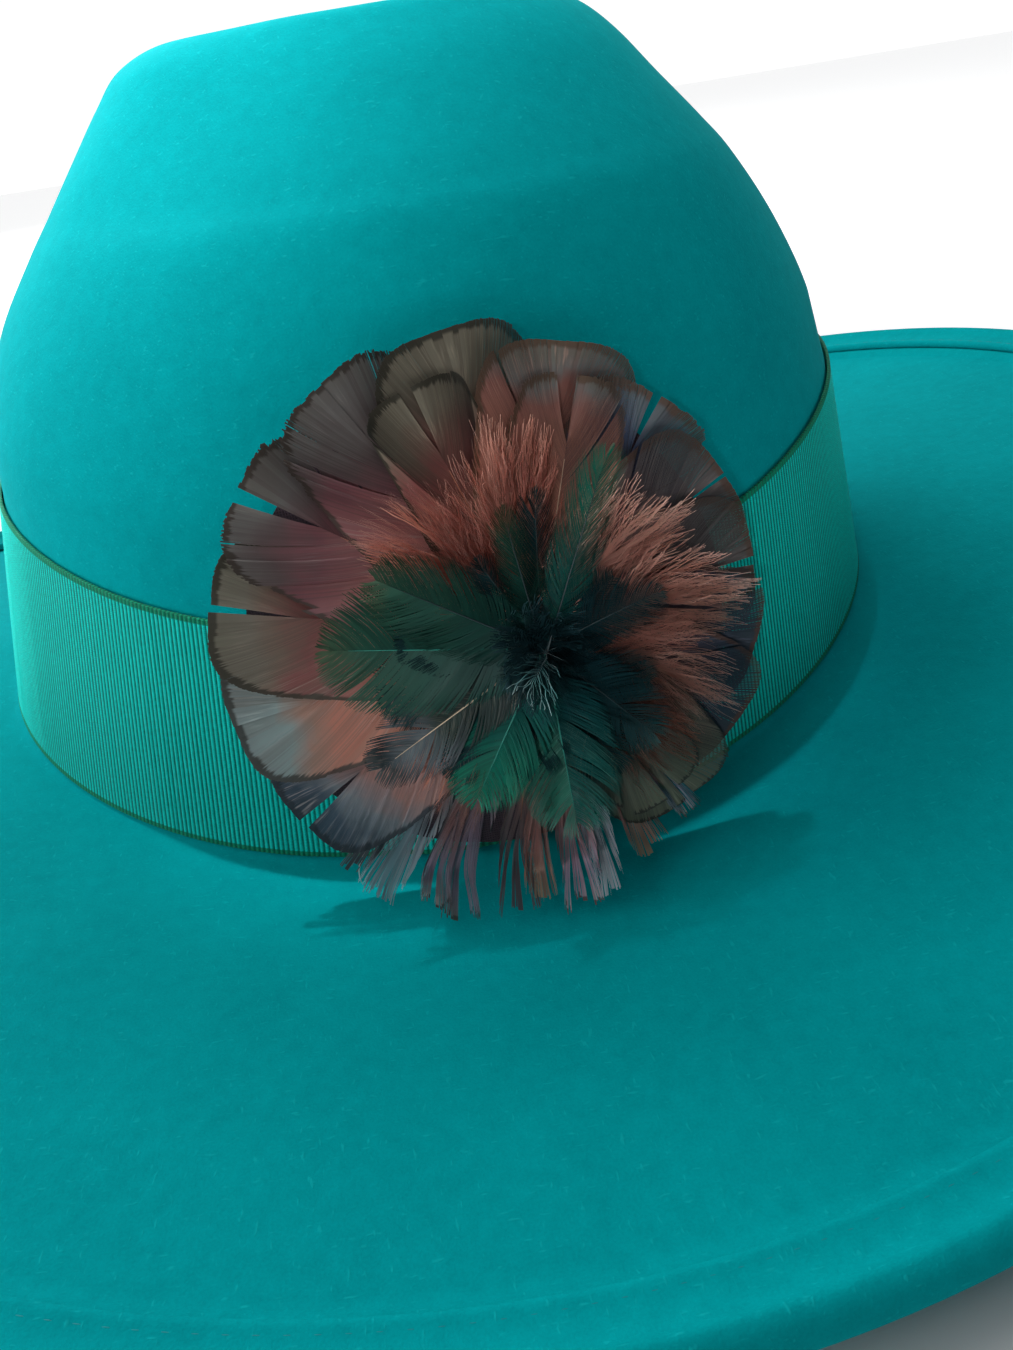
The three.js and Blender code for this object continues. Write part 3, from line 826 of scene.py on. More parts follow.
    line = nodes.add("GeometryNodeCurvePrimitiveLine", None, {"Start": (0, 0, 0), "End": (0, 1, 0)})
    fine = nodes.add("GeometryNodeResampleCurve", None, {"Curve": line.outputs[0], "Count": 14})
    step = nodes.number(nodes.add("GeometryNodeSplineParameter").outputs["Factor"])
    quillY = root + span * ((given["Rachis"] - 0.04) * step - 0.04)
    stepped = stored(fine.outputs[0], "vane", "FLOAT_VECTOR", "POINT", nodes.vector(step, 0.0, 0.0))
    shaped = nodes.add("GeometryNodeSetPosition", None, {
        "Geometry": stepped, "Position": bent(step * 0, quillY, step * 0 + given["Tilt"] * 0.5),
    })
    profile = nodes.add("GeometryNodeCurvePrimitiveCircle", None, {"Resolution": 6, "Radius": 1.0})
    size = nodes.add("GeometryNodeSetCurveRadius", None, {
        "Curve": shaped.outputs[0], "Radius": given["Quill"] * (1 - 0.78 * step),
    })
    tube = nodes.add("GeometryNodeCurveToMesh", None, {
        "Curve": size.outputs[0], "Profile Curve": profile.outputs[0], "Fill Caps": True,
    })
    if "Scale" in tube.inputs:
        nodes.tree.links.new((given["Quill"] * (1 - 0.78 * step)).socket, tube.inputs["Scale"])
    facing = nodes.add("GeometryNodeInputNormal").outputs[0]
    turned = stored(tube.outputs[0], "tuft", "FLOAT_VECTOR", "POINT", facing)

    def readBack(name):
        node = nodes.add("GeometryNodeInputNamedAttribute", {"data_type": "FLOAT_VECTOR"}, {"Name": name})
        return nodes.parts(node.outputs[0])[0]

    quillUv = nodes.vector(0.98 + 0.015 * readBack("tuft"), readBack("vane"), 0.0)
    laid = stored(turned, "OFBake", "FLOAT2", "CORNER", quillUv)
    quill = nodes.add("GeometryNodeSetMaterial", None, {"Geometry": laid})
    nodes.tree.links.new(entry.outputs["Quill Material"], quill.inputs["Material"])
    both = nodes.add("GeometryNodeJoinGeometry")
    nodes.tree.links.new(quill.outputs[0], both.inputs[0])
    nodes.tree.links.new(vane.outputs[0], both.inputs[0])
    whole = nodes.add("GeometryNodeRealizeInstances", None, {"Geometry": both.outputs[0]})
    leave = tree.nodes.new("NodeGroupOutput")
    tree.links.new(whole.outputs[0], leave.inputs[0])
    return tree


vaneTree = featherTree()
plain = {
    "Barbs": 90, "Segments": 6, "Root": 12 * mm, "Reach": 48 * mm, "Half Width": 14 * mm, "Centre": 0.6,
    "Sweep": 1.5, "Fill": 0.96, "Groups": 7.0, "Split": 0.12, "Ragged": 0.05, "Lift": 1.2 * mm,
    "Curl": 0.6 * mm, "Bend": 1.0 * mm, "Cup": -1.2 * mm, "Lean": 0.0, "Wisp": 0.0, "Wisp Size": 1.5,
    "Tilt": 0.12 * mm, "Roll Start": 1.0, "Roll Radius": 5 * mm, "Roll Angle": 1.4, "Quill": 0.32 * mm,
    "Rachis": 0.93, "Taper": 0.8, "Square": 0.0, "Seed": 1.0,
}

discLow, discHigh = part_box("rosette_backing")
lean = math.radians(9.6)
outward = Vector((0, -math.cos(lean), math.sin(lean)))
upward = Vector((0, math.sin(lean), math.cos(lean)))
hub = (discLow + discHigh) / 2 + outward * 0.75 * mm + Vector((7 * mm, 0, 0))
rosetteFrame = Matrix((
    (1, upward.x, outward.x, hub.x),
    (0, upward.y, outward.y, hub.y),
    (0, upward.z, outward.z, hub.z),
    (0, 0, 0, 1),
))


def featherPlace(direction, height, twist=0.0, pitch=0.0):
    turn = Matrix.Rotation(math.radians(direction - 90), 4, "Z")
    twistTurn = Matrix.Rotation(twist, 4, "Y")
    pitchTurn = Matrix.Rotation(pitch, 4, "X")
    return rosetteFrame @ Matrix.Translation((0, 0, height * mm)) @ turn @ twistTurn @ pitchTurn


feather = {"shade": 0.29, "outerHeight": 4.0, "plumeHeight": 8.5, "innerHeight": 13.5}


def plumage(r, g, b):
    # the near side is in shade, so a feather's own colour is lighter than it shows there
    return tuple(min(0.92, value / feather["shade"]) for value in colour(r, g, b)) + (1,)


def look(along, dark, pale, edge=None, **more):
    stops = [(place, plumage(*shade)[:3]) for place, shade in along]
    made = {"along": stops, "dark": plumage(*dark), "pale": plumage(*pale), **more}
    if "right" in more:
        made["right"] = plumage(*more["right"])
    if edge:
        made["edge"] = plumage(*edge)
        made.setdefault("border", 0.06)
    return made


looks = {
    "tippet": look([(0, (96, 62, 56)), (0.55, (70, 56, 50)), (0.8, (66, 66, 58)), (1, (74, 72, 60))],
                   (38, 34, 30), (110, 104, 90), (30, 26, 24), border=0.03),
    "night": look([(0, (84, 56, 50)), (0.5, (48, 38, 46)), (0.75, (28, 38, 50)), (1, (30, 34, 40))],
                  (12, 16, 22), (60, 64, 76), (46, 30, 26)),
    "rim": look([(0, (110, 78, 70)), (0.6, (62, 54, 56)), (0.85, (58, 54, 54)), (1, (52, 46, 44))],
                (30, 26, 26), (92, 84, 82), (48, 34, 28), border=0.09),
    "indigo": look([(0, (96, 64, 58)), (0.55, (44, 46, 64)), (0.75, (40, 48, 66)), (0.9, (62, 68, 72)),
                    (1, (54, 50, 46))], (20, 22, 32), (84, 90, 104), (52, 38, 30), border=0.1),
    "salmon": look([(0, (122, 86, 74)), (0.6, (104, 70, 60)), (0.8, (92, 60, 54)), (0.9, (72, 72, 70)),
                    (1, (64, 64, 58))], (62, 38, 34), (138, 106, 94), (52, 38, 28), border=0.07),
    "bronze": look([(0, (116, 72, 64)), (0.6, (86, 50, 48)), (0.75, (76, 62, 54)), (0.85, (76, 72, 62)),
                    (1, (70, 66, 56))], (44, 38, 32), (112, 104, 90), (26, 24, 18)),
    "dusk": look([(0, (122, 78, 72)), (0.62, (76, 46, 50)), (0.76, (60, 50, 50)), (0.9, (66, 64, 62)),
                  (1, (64, 62, 58))], (42, 34, 34), (96, 92, 88), (34, 28, 24), border=0.05),
    "leather": look([(0, (118, 72, 62)), (0.62, (82, 47, 46)), (0.76, (76, 64, 56)), (0.86, (75, 71, 63)),
                     (1, (70, 68, 58))], (46, 40, 34), (104, 98, 88), (28, 26, 20)),
    "tan": look([(0, (118, 76, 64)), (0.6, (124, 80, 68)), (0.72, (108, 82, 72)), (0.84, (86, 98, 98)),
                 (1, (80, 88, 88))], (58, 50, 44), (126, 130, 128), (28, 28, 26)),
    "pinkNavy": look([(0, (118, 80, 72)), (0.6, (112, 80, 74)), (0.74, (78, 80, 84)), (0.87, (34, 46, 56)),
                      (1, (16, 28, 36))], (24, 28, 34), (120, 110, 108), (12, 20, 26)),
    "blush": look([(0, (122, 72, 62)), (0.5, (148, 94, 82)), (1, (158, 108, 94))],
                  (100, 58, 50), (176, 130, 114)),
    "fawn": look([(0, (112, 70, 60)), (0.5, (136, 102, 92)), (1, (148, 116, 106))],
                 (104, 68, 58), (172, 134, 120)),
    "rustDown": look([(0, (74, 46, 40)), (0.5, (104, 62, 50)), (1, (124, 72, 54))],
                     (52, 32, 30), (140, 94, 74)),
    "mossDown": look([(0, (40, 34, 28)), (0.5, (66, 50, 38)), (1, (96, 66, 50))],
                     (24, 24, 22), (110, 84, 66)),
    "bottle": look([(0, (5, 27, 27)), (0.45, (12, 40, 34)), (0.8, (22, 50, 40)), (1, (44, 56, 40))],
                   (4, 15, 14), (26, 54, 38), gloss=0.22, rough=0.5, sheen=0.0),
    "emerald": look([(0, (5, 30, 32)), (0.4, (6, 50, 46)), (0.8, (8, 70, 56)), (1, (14, 84, 66))],
                    (4, 18, 18), (26, 88, 66), gloss=0.25, rough=0.45, sheen=0.0),
    "ink": look([(0, (6, 26, 30)), (0.5, (9, 27, 30)), (0.85, (14, 34, 36)), (1, (18, 40, 40))],
                (3, 11, 14), (18, 42, 42), gloss=0.2, rough=0.5, sheen=0.0),
    "banded": look([(0, (8, 22, 24)), (0.5, (24, 32, 29)), (0.72, (58, 64, 68)), (0.86, (13, 22, 25)),
                    (1, (46, 50, 50))], (7, 14, 17), (90, 86, 78), (8, 12, 15), border=0.05, gloss=0.2),
    "paleTip": look([(0, (5, 27, 31)), (0.5, (6, 40, 39)), (0.8, (9, 54, 48)), (0.92, (40, 74, 68)),
                     (1, (96, 110, 104))], (3, 15, 16), (70, 98, 90), gloss=0.25, rough=0.45, sheen=0.0,
                    right=(14, 66, 52)),
    "soot": look([(0, (6, 25, 29)), (0.6, (7, 28, 32)), (1, (12, 34, 38))],
                 (3, 11, 14), (18, 44, 46), sheen=0.0),
    "frost": look([(0, (10, 40, 44)), (0.5, (60, 104, 104)), (1, (130, 160, 156))],
                  (24, 60, 62), (150, 172, 168)),
    "mauve": look([(0, (98, 66, 64)), (0.5, (96, 80, 92)), (0.75, (98, 98, 112)), (1, (66, 78, 70))],
                  (46, 40, 46), (126, 122, 134), (36, 42, 38), border=0.03),
    "dove": look([(0, (100, 76, 74)), (0.5, (96, 98, 104)), (1, (98, 118, 124))],
                 (44, 44, 48), (140, 146, 148)),
    "smoke": look([(0, (92, 62, 58)), (0.5, (74, 60, 62)), (0.8, (54, 54, 58)), (1, (40, 46, 50))],
                  (16, 20, 24), (92, 84, 82)),
    "orchid": look([(0, (108, 66, 60)), (0.5, (106, 76, 76)), (0.75, (100, 96, 112)), (1, (98, 100, 98))],
                   (48, 34, 36), (134, 126, 134), (34, 30, 28), border=0.03),
    "rose": look([(0, (100, 60, 54)), (0.55, (104, 68, 64)), (0.8, (90, 78, 66)), (1, (84, 82, 66))],
                 (44, 32, 32), (126, 104, 98)),
}


def vaneMaterial(name, look):
    material, nodes, shader = newMaterial(name, look["dark"], look.get("rough", 0.55), {
        "Specular IOR Level": look.get("gloss", 0.3), "Sheen Weight": look.get("sheen", 0.12),
    })
    vane = nodes.add("ShaderNodeAttribute", {"attribute_name": "vane"}).outputs["Vector"]
    tuft = nodes.add("ShaderNodeAttribute", {"attribute_name": "tuft"}).outputs["Vector"]
    far, t, chance = nodes.parts(vane)
    s, group, side = nodes.parts(tuft)
    place = objectPlace(nodes)
    cloud = nodes.noise(place, 110, 3)
    reach = nodes.clamp(far + (cloud - 0.5) * 0.4 + (group - 0.5) * 0.1)
    ramp = nodes.add("ShaderNodeValToRGB", {"stops": look["along"]}, {0: reach})
    base = ramp.outputs[0]
    if "right" in look:
        base = nodes.mix(nodes.clamp(side) * nodes.smooth(far, 0.25, 0.5) * 0.7, base, look["right"])
    fine = nodes.clamp((chance - 0.5) * 0.8 + (group - 0.5) * 0.5 + 0.45)
    base = nodes.mix(fine * 0.55, base, look["dark"])
    lines = nodes.noise(nodes.vector(s * 260, t * 3, chance), 1, 2)
    blotch = nodes.noise(place, 70, 2)
    streaks = nodes.smooth(lines, 0.5, 0.75) * nodes.smooth(blotch, 0.4, 0.65) * 0.5
    base = nodes.mix(streaks, base, look["pale"])
    if "border" in look:
        near = nodes.smooth(t + (chance - 0.5) * 0.04, 1 - look["border"] * 1.3, 1 - look["border"] * 0.7)
        base = nodes.mix(near * 0.9, base, look["edge"])
    link(nodes, base, shader.inputs["Base Color"])
    link(nodes, look.get("rough", 0.55) + lines * 0.2 - 0.1, shader.inputs["Roughness"])
    return material


def quillMaterial(name, shade):
    material, nodes, shader = newMaterial(name, shade, 0.4, {"Specular IOR Level": 0.5})
    grain = nodes.noise(objectPlace(nodes), 500, 2)
    darker = tuple(c * 0.55 for c in shade[:3]) + (1,)
    link(nodes, nodes.mix(grain, darker, shade), shader.inputs["Base Color"])
    return material


vanes = {name: vaneMaterial(name + "Vane", made) for name, made in looks.items()}
quills = {
    "orange": quillMaterial("orangeQuill", plumage(128, 84, 62)),
    "pale": quillMaterial("paleQuill", plumage(146, 122, 104)),
    "teal": quillMaterial("tealQuill", plumage(24, 92, 82)),
    "black": quillMaterial("blackQuill", plumage(14, 26, 28)),
}


def layer(lookName, quillName, place, values):
    merged = {**plain, **values, "Vane Material": vanes[lookName], "Quill Material": quills[quillName]}
    mesh = bakeTree("layer", vaneTree, merged)
    mesh.transform(place)
    return mesh


def joinLayers(name, layers):
    # one piece from several layers; each layer's bake map gets its own strip of the sheet
    work = bmesh.new()
    materials = []
    for index, mesh in enumerate(layers):
        uv = np.zeros(len(mesh.loops) * 2, np.float32)
        mesh.uv_layers["OFBake"].data.foreach_get("uv", uv)
        uv[0::2] = (uv[0::2] + index) / len(layers)
        mesh.uv_layers["OFBake"].data.foreach_set("uv", uv)
        slots = np.zeros(len(mesh.polygons), np.int32)
        mesh.polygons.foreach_get("material_index", slots)
        mesh.polygons.foreach_set("material_index", slots + len(materials))
        materials += list(mesh.materials)
        work.from_mesh(mesh)
    whole = bpy.data.meshes.new(name)
    work.to_mesh(whole)
    work.free()
    for material in materials:
        whole.materials.append(material)
    for mesh in layers:
        bpy.data.meshes.remove(mesh)
    whole.shade_smooth()
    return whole


def featherPiece(name, nodeName, layers):
    piece = bpy.data.objects.new(name, joinLayers(name, layers))
    bpy.context.scene.collection.objects.link(piece)
    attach(piece, "rosette")
    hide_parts(nodeName)
    return piece


# Outer ring: wide barred feathers that overlap like an iris
ring = {
    "start": 301, "pitch": 22.4, "twist": 0.17, "across": 45, "up": 48.5, "shift": 7,
    "looks": ["tippet", "night", "night", "rim", "rim", "indigo", "salmon", "bronze", "dusk", "dusk",
              "leather", "tan", "pinkNavy"],
    "lifted": {6: 0.9, 7: -0.4, 9: 0.5, 10: 1.3},
}


def ringReach(direction):
    # the ring is an ellipse whose middle lies a little toward the front of the hat
    angle = math.radians(direction)
    x, y = math.cos(angle) / ring["across"], math.sin(angle) / ring["up"]
    square, mixed = x * x + y * y, -x * ring["shift"] / ring["across"]
    inside = (ring["shift"] / ring["across"]) ** 2 - 1
    return (mixed + math.sqrt(mixed * mixed - square * inside)) / square


outerShape = {
    "Barbs": 130, "Segments": 8, "Root": 11 * mm, "Half Width": 13.2 * mm, "Centre": 0.62, "Sweep": 1.3,
    "Groups": 4.0, "Split": 0.05, "Ragged": 0.03, "Lift": 1.3 * mm, "Curl": 0.4 * mm, "Bend": -0.8 * mm,
    "Cup": -0.8 * mm, "Quill": 0.2 * mm, "Rachis": 0.66, "Taper": 0.04, "Square": 0.75, "Fill": 1.12,
}
for index, lookName in enumerate(ring["looks"]):
    direction = ring["start"] + ring["pitch"] * index
    height = feather["outerHeight"] + ring["lifted"].get(index, 0)
    shape = {**outerShape, "Reach": ringReach(direction) * mm, "Seed": 11.0 + index * 7}
    if lookName in ("dusk", "indigo"):
        shape.update({"Split": 0.14, "Ragged": 0.08, "Groups": 7.0})
    layers = [layer(lookName, "orange", featherPlace(direction, height, ring["twist"]), shape)]
    if lookName == "bronze":
        # a shorter, square-cut feather lies on top of this one
        cut = {**outerShape, "Reach": 43.5 * mm, "Half Width": 8.5 * mm, "Centre": 0.86, "Seed": 5.0,
               "Split": 0.16}
        layers.append(layer("bronze", "orange", featherPlace(108, height + 2.6, 0.05), cut))
    if lookName == "salmon":
        fan = {**outerShape, "Reach": 41 * mm, "Half Width": 9.5 * mm, "Seed": 9.0, "Split": 0.24,
               "Ragged": 0.12}
        layers.append(layer("salmon", "pale", featherPlace(73, height + 2.4, 0.08), fan))
    if lookName == "tippet":
        bars = {**outerShape, "Reach": 39 * mm, "Half Width": 10 * mm, "Seed": 2.0, "Split": 0.4,
                "Groups": 5.0, "Root": 6 * mm, "Lift": 3 * mm}
        layers.append(layer("tippet", "orange", featherPlace(298, height + 2, 0.1), bars))
    featherPiece(f"outerFeather_{index + 1:02d}", f"outer_feather_{index + 1:02d}", layers)
print("outer feathers")

# Downy plumes
downShape = {
    "Barbs": 290, "Segments": 9, "Root": 3 * mm, "Half Width": 10.5 * mm, "Centre": 0.6, "Sweep": 1.1,
    "Fill": 0.22, "Groups": 30.0, "Split": 0.8, "Ragged": 0.42, "Lift": 3.6 * mm, "Curl": 2.2 * mm,
    "Bend": 1.0 * mm, "Cup": -1.5 * mm, "Wisp": 8 * mm, "Wisp Size": 1.7, "Tilt": 0.2 * mm, "Quill": 0.1 * mm,
    "Rachis": 0.5,
}
underShape = {**downShape, "Barbs": 150, "Fill": 0.9, "Wisp": 5 * mm, "Ragged": 0.3, "Lift": 2.4 * mm,
              "Curl": 1.0 * mm, "Segments": 8}
plumes = [
    (14, "fawn", 34, 0.1), (47, "fawn", 31, 0.06), (97, "blush", 36, 0.05), (122, "blush", 34, -0.08),
    (180, "rustDown", 31, 0.0), (222, "rustDown", 35, -0.1), (262, "mossDown", 29, 0.0),
    (304, "rustDown", 35, 0.0), (342, "fawn", 35, 0.12),
]
for index, (direction, lookName, reach, side) in enumerate(plumes):
    layers = []
    for depth, shape in ((-1.2, underShape), (0.6, downShape)):
        values = {**shape, "Reach": (reach + depth) * mm, "Lean": side * 60 * mm}
        values["Seed"] = 31.0 + index * 5 + depth
        place = featherPlace(direction, feather["plumeHeight"] + depth, 0.16)
        layers.append(layer(lookName, "pale", place, values))
    featherPiece(f"plume_{index + 1:02d}", f"plume_{index + 1:02d}", layers)
print("plumes")

# Inner feathers: glossy, green-black
innerShape = {
    "Barbs": 100, "Segments": 8, "Root": 2 * mm, "Centre": 0.62, "Sweep": 1.3, "Fill": 1.0, "Groups": 7.0,
    "Split": 0.2, "Ragged": 0.1, "Lift": 1.8 * mm, "Curl": 0.9 * mm, "Cup": -1.0 * mm, "Wisp": 1.1 * mm,
    "Quill": 0.2 * mm,
}
innerLift = 2.5
innerFeathers = [
    (18, 21, 6.5, "ink", "black"), (66, 33, 5, "emerald", "black"), (98, 24, 4, "bottle", "black"),
    (146, 30, 7.5, "bottle", "black"), (169, 35, 11, "bottle", "teal"), (207, 34, 7, "banded", "pale"),
    (238, 29, 8, "emerald", "teal"), (272, 33, 9.5, "paleTip", "teal"), (312, 25, 7.5, "ink", "black"),
]
for index, (direction, reach, half, lookName, quillName) in enumerate(innerFeathers):
    values = {**innerShape, "Reach": reach * mm, "Half Width": half * mm, "Seed": 71.0 + index * 3}
    # the bright green feather stands above its neighbours
    raised = innerLift if lookName == "emerald" and quillName == "black" else 0
    place = featherPlace(direction, feather["innerHeight"] + raised, 0.19)
    layers = [layer(lookName, quillName, place, values)]
    # a darker, narrower feather fills the gap beside each one
    beside = {**values, "Reach": reach * 0.78 * mm, "Half Width": half * 0.8 * mm, "Seed": 17.0 + index}
    besidePlace = featherPlace(direction + 19, feather["innerHeight"] - 1.2, 0.1)
    layers.append(layer("ink", "black", besidePlace, beside))
    featherPiece(f"innerFeather_{index + 1:02d}", f"inner_feather_{index + 1:02d}", layers)
print("inner feathers")

# Fringe: split bundles of barbs that run down over the ribbon and out along the brim
fringe = {"depth": 44.3, "bend": 4, "height": 0.6, "radius": 3.2}
fringeShape = {
    "Barbs": 40, "Segments": 18, "Root": 24 * mm, "Centre": 0.9, "Sweep": 1.6, "Fill": 1.0, "Groups": 5.0,
    "Split": 0.72, "Ragged": 0.24, "Lift": 3.0 * mm, "Curl": 2.4 * mm, "Bend": 0.0, "Cup": 0.0,
    "Wisp": 0.9 * mm, "Tilt": 0.1 * mm, "Quill": 0.16 * mm, "Roll Radius": fringe["radius"] * mm, "Rachis": 0.45, "Taper": 0.3,
    "Square": 0.8,
}
bundles = [
    (231, "dove", 4.6, 58, 0, -8), (245.5, "mauve", 4.2, 60, 1, -5), (260, "smoke", 4.0, 58, 3, 5),
    (275, "orchid", 4.4, 58, 4, 6), (289.5, "rose", 4.2, 50, 1, 12),
]
for index, (direction, lookName, half, reach, lean, turn) in enumerate(bundles):
    run = fringe["depth"] / abs(math.sin(math.radians(direction)))
    values = {**fringeShape, "Half Width": half * mm, "Reach": reach * mm, "Lean": lean * mm,
              "Roll Start": (run - fringe["bend"]) * mm, "Seed": 41.0 + index * 9}
    layers = [layer(lookName, "orange", featherPlace(direction, fringe["height"]), values)]
    over = {**values, "Half Width": half * 0.7 * mm, "Reach": (reach - 4) * mm, "Seed": 3.0 + index}
    other = bundles[(index + 2) % len(bundles)][1]
    layers.append(layer(other, "orange", featherPlace(direction + turn, fringe["height"] + 1.6), over))
    featherPiece(f"fringe_{index + 1}", f"fringe_{index + 1}", layers)
print("fringe")

# Centre tuft: short dark down with a few pale hairs
tuftShape = {
    **downShape, "Barbs": 70, "Segments": 7, "Root": 0.5 * mm, "Half Width": 5.5 * mm, "Ragged": 0.3,
    "Groups": 7.0, "Lift": 3.5 * mm, "Curl": 2 * mm, "Wisp": 4 * mm, "Quill": 0.1 * mm, "Cup": 0.0,
}
tuftLayers = []
for index in range(7):
    values = {**tuftShape, "Reach": (9 + 1.5 * (index % 3)) * mm, "Seed": 91.0 + index}
    tuftLayers.append(layer("soot", "black", featherPlace(20 + index * 360 / 7, 15, 0, 0.32), values))
wisps = {**tuftShape, "Barbs": 14, "Reach": 9 * mm, "Half Width": 5 * mm, "Fill": 0.12, "Seed": 5.0}
tuftLayers.append(layer("frost", "black", featherPlace(228, 17, 0, 0.2), wisps))
featherPiece("centreTuft", "centre_tuft", tuftLayers)
print("tuft")


# Two loose hairs: a curled white barb and a pale thread end
def hairPiece(name, material, points, radius):
    # points in the rosette's own frame, mm; thinner toward the free end
    curve = bpy.data.curves.new(name, "CURVE")
    curve.dimensions = "3D"
    spline = curve.splines.new("NURBS")
    spline.points.add(len(points) - 1)
    for index, (knot, point) in enumerate(zip(spline.points, points)):
        knot.co = (*(rosetteFrame @ (Vector(point) * mm)), 1)
        knot.radius = 1 - 0.6 * index / (len(points) - 1)
    spline.use_endpoint_u = True
    spline.order_u = 4
    curve.bevel_depth = radius * mm
    curve.bevel_resolution = 2
    curve.use_fill_caps = True
    holder = bpy.data.objects.new(name, curve)
    bpy.context.scene.collection.objects.link(holder)
    graph = bpy.context.evaluated_depsgraph_get()
    mesh = bpy.data.meshes.new_from_object(holder.evaluated_get(graph))
    bpy.data.objects.remove(holder)
    piece = fromMesh(name, mesh, material, "rosette")


hairPiece("looseBarb", quillMaterial("whiteBarb", plumage(150, 168, 164)),
          [(-29, -29, 1.5), (-33, -32, 2.6), (-36.2, -35, 3.2), (-37.8, -38.5, 3), (-37.4, -41, 2.4)], 0.2)
hairPiece("looseThread", quillMaterial("threadEnd", plumage(110, 140, 134)),
          [(27, -17, 1), (30, -18.6, 2), (32.5, -19.2, 1.2), (34.2, -20.4, 1.6), (35.5, -20, 1.2)], 0.13)


# Backing, clip and wire keep their frame shapes and get their real finishes
def wovenMaterial(name, deep, light):
    material, nodes, shader = newMaterial(name, deep, 0.85, {"Specular IOR Level": 0.2, "Sheen Weight": 0.2})
    x, y, z = nodes.parts(objectPlace(nodes))
    pitch = 2 * math.pi / (0.9 * mm)
    warp, weft = nodes.math("SINE", x * pitch), nodes.math("SINE", z * pitch)
    over = nodes.math("MAXIMUM", nodes.math("ABSOLUTE", warp), nodes.math("ABSOLUTE", weft))
    fleck = nodes.noise(objectPlace(nodes), 900, 3)
    share = nodes.clamp(over * 0.7 + fleck * 0.6 - 0.3)
    link(nodes, nodes.mix(share, deep, light), shader.inputs["Base Color"])
    link(nodes, 0.8 + fleck * 0.15, shader.inputs["Roughness"])
    bump(nodes, shader, over + fleck * 0.4, 0.0002, 0.7)
    return material


def steelMaterial(name, shade, roughness):
    material, nodes, shader = newMaterial(name, shade, roughness, {"Metallic": 1.0})
    drawn = nodes.noise(objectPlace(nodes), 300, 3, 0.6, (0.1, 1, 1))
    darker = tuple(c * 0.7 for c in shade[:3]) + (1,)
    link(nodes, nodes.mix(drawn, darker, shade), shader.inputs["Base Color"])
    link(nodes, roughness + drawn * 0.15, shader.inputs["Roughness"])
    bump(nodes, shader, drawn, 0.00003, 0.5)
    return material


def refinish(nodeName, material):
    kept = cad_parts[nodeName]
    for slotted in kept.material_slots:
        slotted.material = material


refinish("rosette_backing", wovenMaterial("wovenBacking", plumage(18, 14, 18), plumage(50, 38, 44)))
refinish("rosette_clip", steelMaterial("nickelSteel", rgba(196, 198, 200), 0.22))
refinish("brim_wire", steelMaterial("springWire", rgba(150, 152, 154), 0.35))


# Camera at the hat's near side, a little above the brim
eye = {"place": (-1.94, -236.99, 117.43), "forward": (0.05566, 0.86072, -0.50603), "lens": 27.07,
       "up": (0.19007, 0.48842, 0.85166)}
cameraData = bpy.data.cameras.new("camera")
cameraData.lens = eye["lens"]
cameraData.sensor_width = 36
cameraData.clip_start = 0.005
camera = bpy.data.objects.new("camera", cameraData)
bpy.context.scene.collection.objects.link(camera)
forward = Vector(eye["forward"]).normalized()
across = forward.cross(Vector(eye["up"])).normalized()
upNow = across.cross(forward)
camera.matrix_world = Matrix.Translation((Vector(eye["place"]) + Vector((0, 0, restHeight))) * mm) @ Matrix((
    (across.x, upNow.x, -forward.x, 0),
    (across.y, upNow.y, -forward.y, 0),
    (across.z, upNow.z, -forward.z, 0),
    (0, 0, 0, 1),
))
bpy.context.scene.camera = camera

# Floor, sky and lights: bright behind the hat, dim in front of it
bpy.context.scene.view_settings.view_transform = "Standard"
stage = {
    "floor": rgba(240, 240, 240), "floorShade": rgba(228, 229, 231), "glow": rgba(255, 255, 255),
    "bright": (1.0, 1.0, 1.0, 1), "dim": (0.05, 0.058, 0.066, 1), "toward": (-0.28, 0.93, 0.25),
}
floorMaterial, floorNodes, floorShader = newMaterial("paleFloor", stage["floor"], 0.9)
grain = floorNodes.noise(objectPlace(floorNodes), 4, 2)
floorTone = floorNodes.mix(grain * 0.2, stage["floor"], stage["floorShade"])
link(floorNodes, floorTone, floorShader.inputs["Base Color"])
# painted light: the floor glows, not at all within 0.18 m of the middle and fully from 0.45 m out, which
# lightens the hat's shadow on it and keeps the far floor white
fromMiddle = floorNodes.add("ShaderNodeVectorMath", {"operation": "LENGTH"}, {0: objectPlace(floorNodes)})
spread = floorNodes.smooth(floorNodes.number(fromMiddle.outputs[1]), 0.18, 0.45)
link(floorNodes, floorNodes.mix(spread, rgba(0, 0, 0), stage["glow"]), floorShader.inputs["Emission Color"])
floorShader.inputs["Emission Strength"].default_value = 0.55
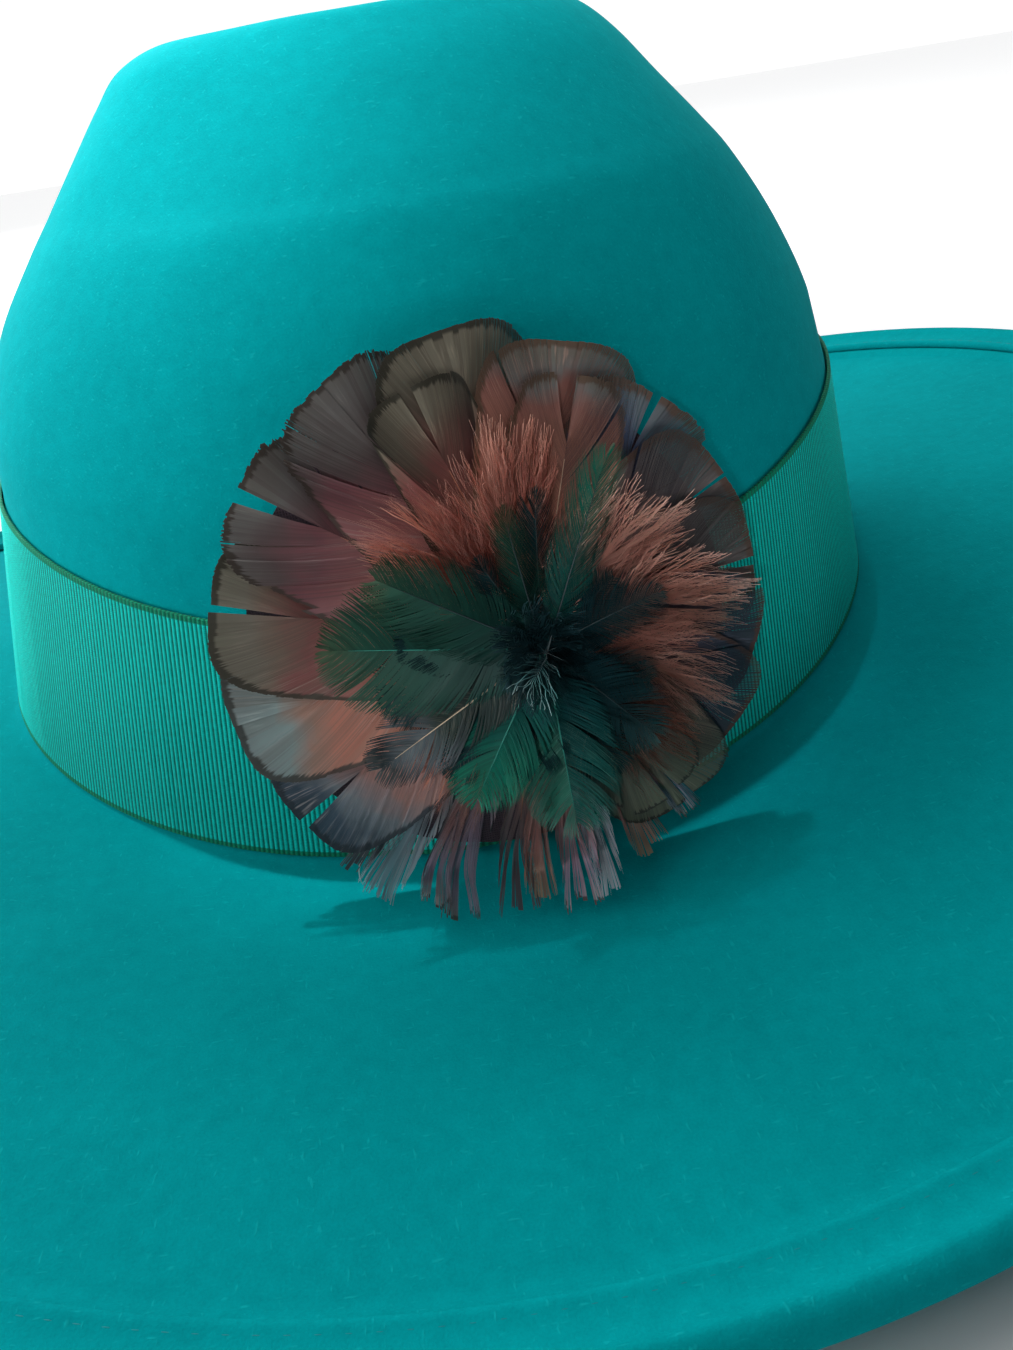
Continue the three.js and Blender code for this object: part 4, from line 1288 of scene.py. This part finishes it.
bpy.ops.mesh.primitive_plane_add(size=8, location=(0, 0, 0))
floor = bpy.context.object
floor.name = "floor"
floor.data.materials.append(floorMaterial)
world = bpy.data.worlds.new("studio")
world.use_nodes = True
sky = Nodes(world.node_tree)
rays = sky.add("ShaderNodeTexCoord").outputs["Generated"]
towardBright = sky.add("ShaderNodeVectorMath", {"operation": "DOT_PRODUCT"}, {0: rays, 1: stage["toward"]})
share = sky.smooth(sky.number(towardBright.outputs[1]), 0.25, 0.6)
backdrop = world.node_tree.nodes["Background"]
link(sky, sky.mix(share, stage["dim"], stage["bright"]), backdrop.inputs["Color"])
backdrop.inputs["Strength"].default_value = 1.05
bpy.context.scene.world = world


def softLight(name, place, target, size, power, shade):
    data = bpy.data.lights.new(name, "AREA")
    data.shape = "RECTANGLE"
    data.size, data.size_y = size
    data.energy = power
    data.color = shade
    lamp = bpy.data.objects.new(name, data)
    bpy.context.scene.collection.objects.link(lamp)
    lamp.location = place
    lamp.rotation_euler = (Vector(target) - Vector(place)).to_track_quat("-Z", "Y").to_euler()


def spotLight(name, place, target, cone, power, radius):
    data = bpy.data.lights.new(name, "SPOT")
    data.energy = power
    data.spot_size = math.radians(cone)
    data.spot_blend = 1.0
    data.shadow_soft_size = radius
    lamp = bpy.data.objects.new(name, data)
    bpy.context.scene.collection.objects.link(lamp)
    lamp.location = place
    lamp.rotation_euler = (Vector(target) - Vector(place)).to_track_quat("-Z", "Y").to_euler()


softLight("window", (-0.75, 1.35, 0.95), (0, 0, 0.05), (1.4, 0.9), 15, (1, 1, 1))
softLight("ceiling", (-0.5, -0.35, 1.4), (0, 0, 0), (1.2, 1.2), 2.4, (1, 1, 1))
softLight("side", (-1.35, -0.1, 0.4), (0, 0, 0.05), (1.3, 1.0), 13, (1, 1, 1))
spotLight("crownSpot", (-0.12, 0.2, 1.22), (-0.015, 0.005, 0.13), 9, 80, 0.03)
spotLight("rosetteSpot", (-0.25, -0.85, 0.3), hub, 7, 9.5, 0.03)
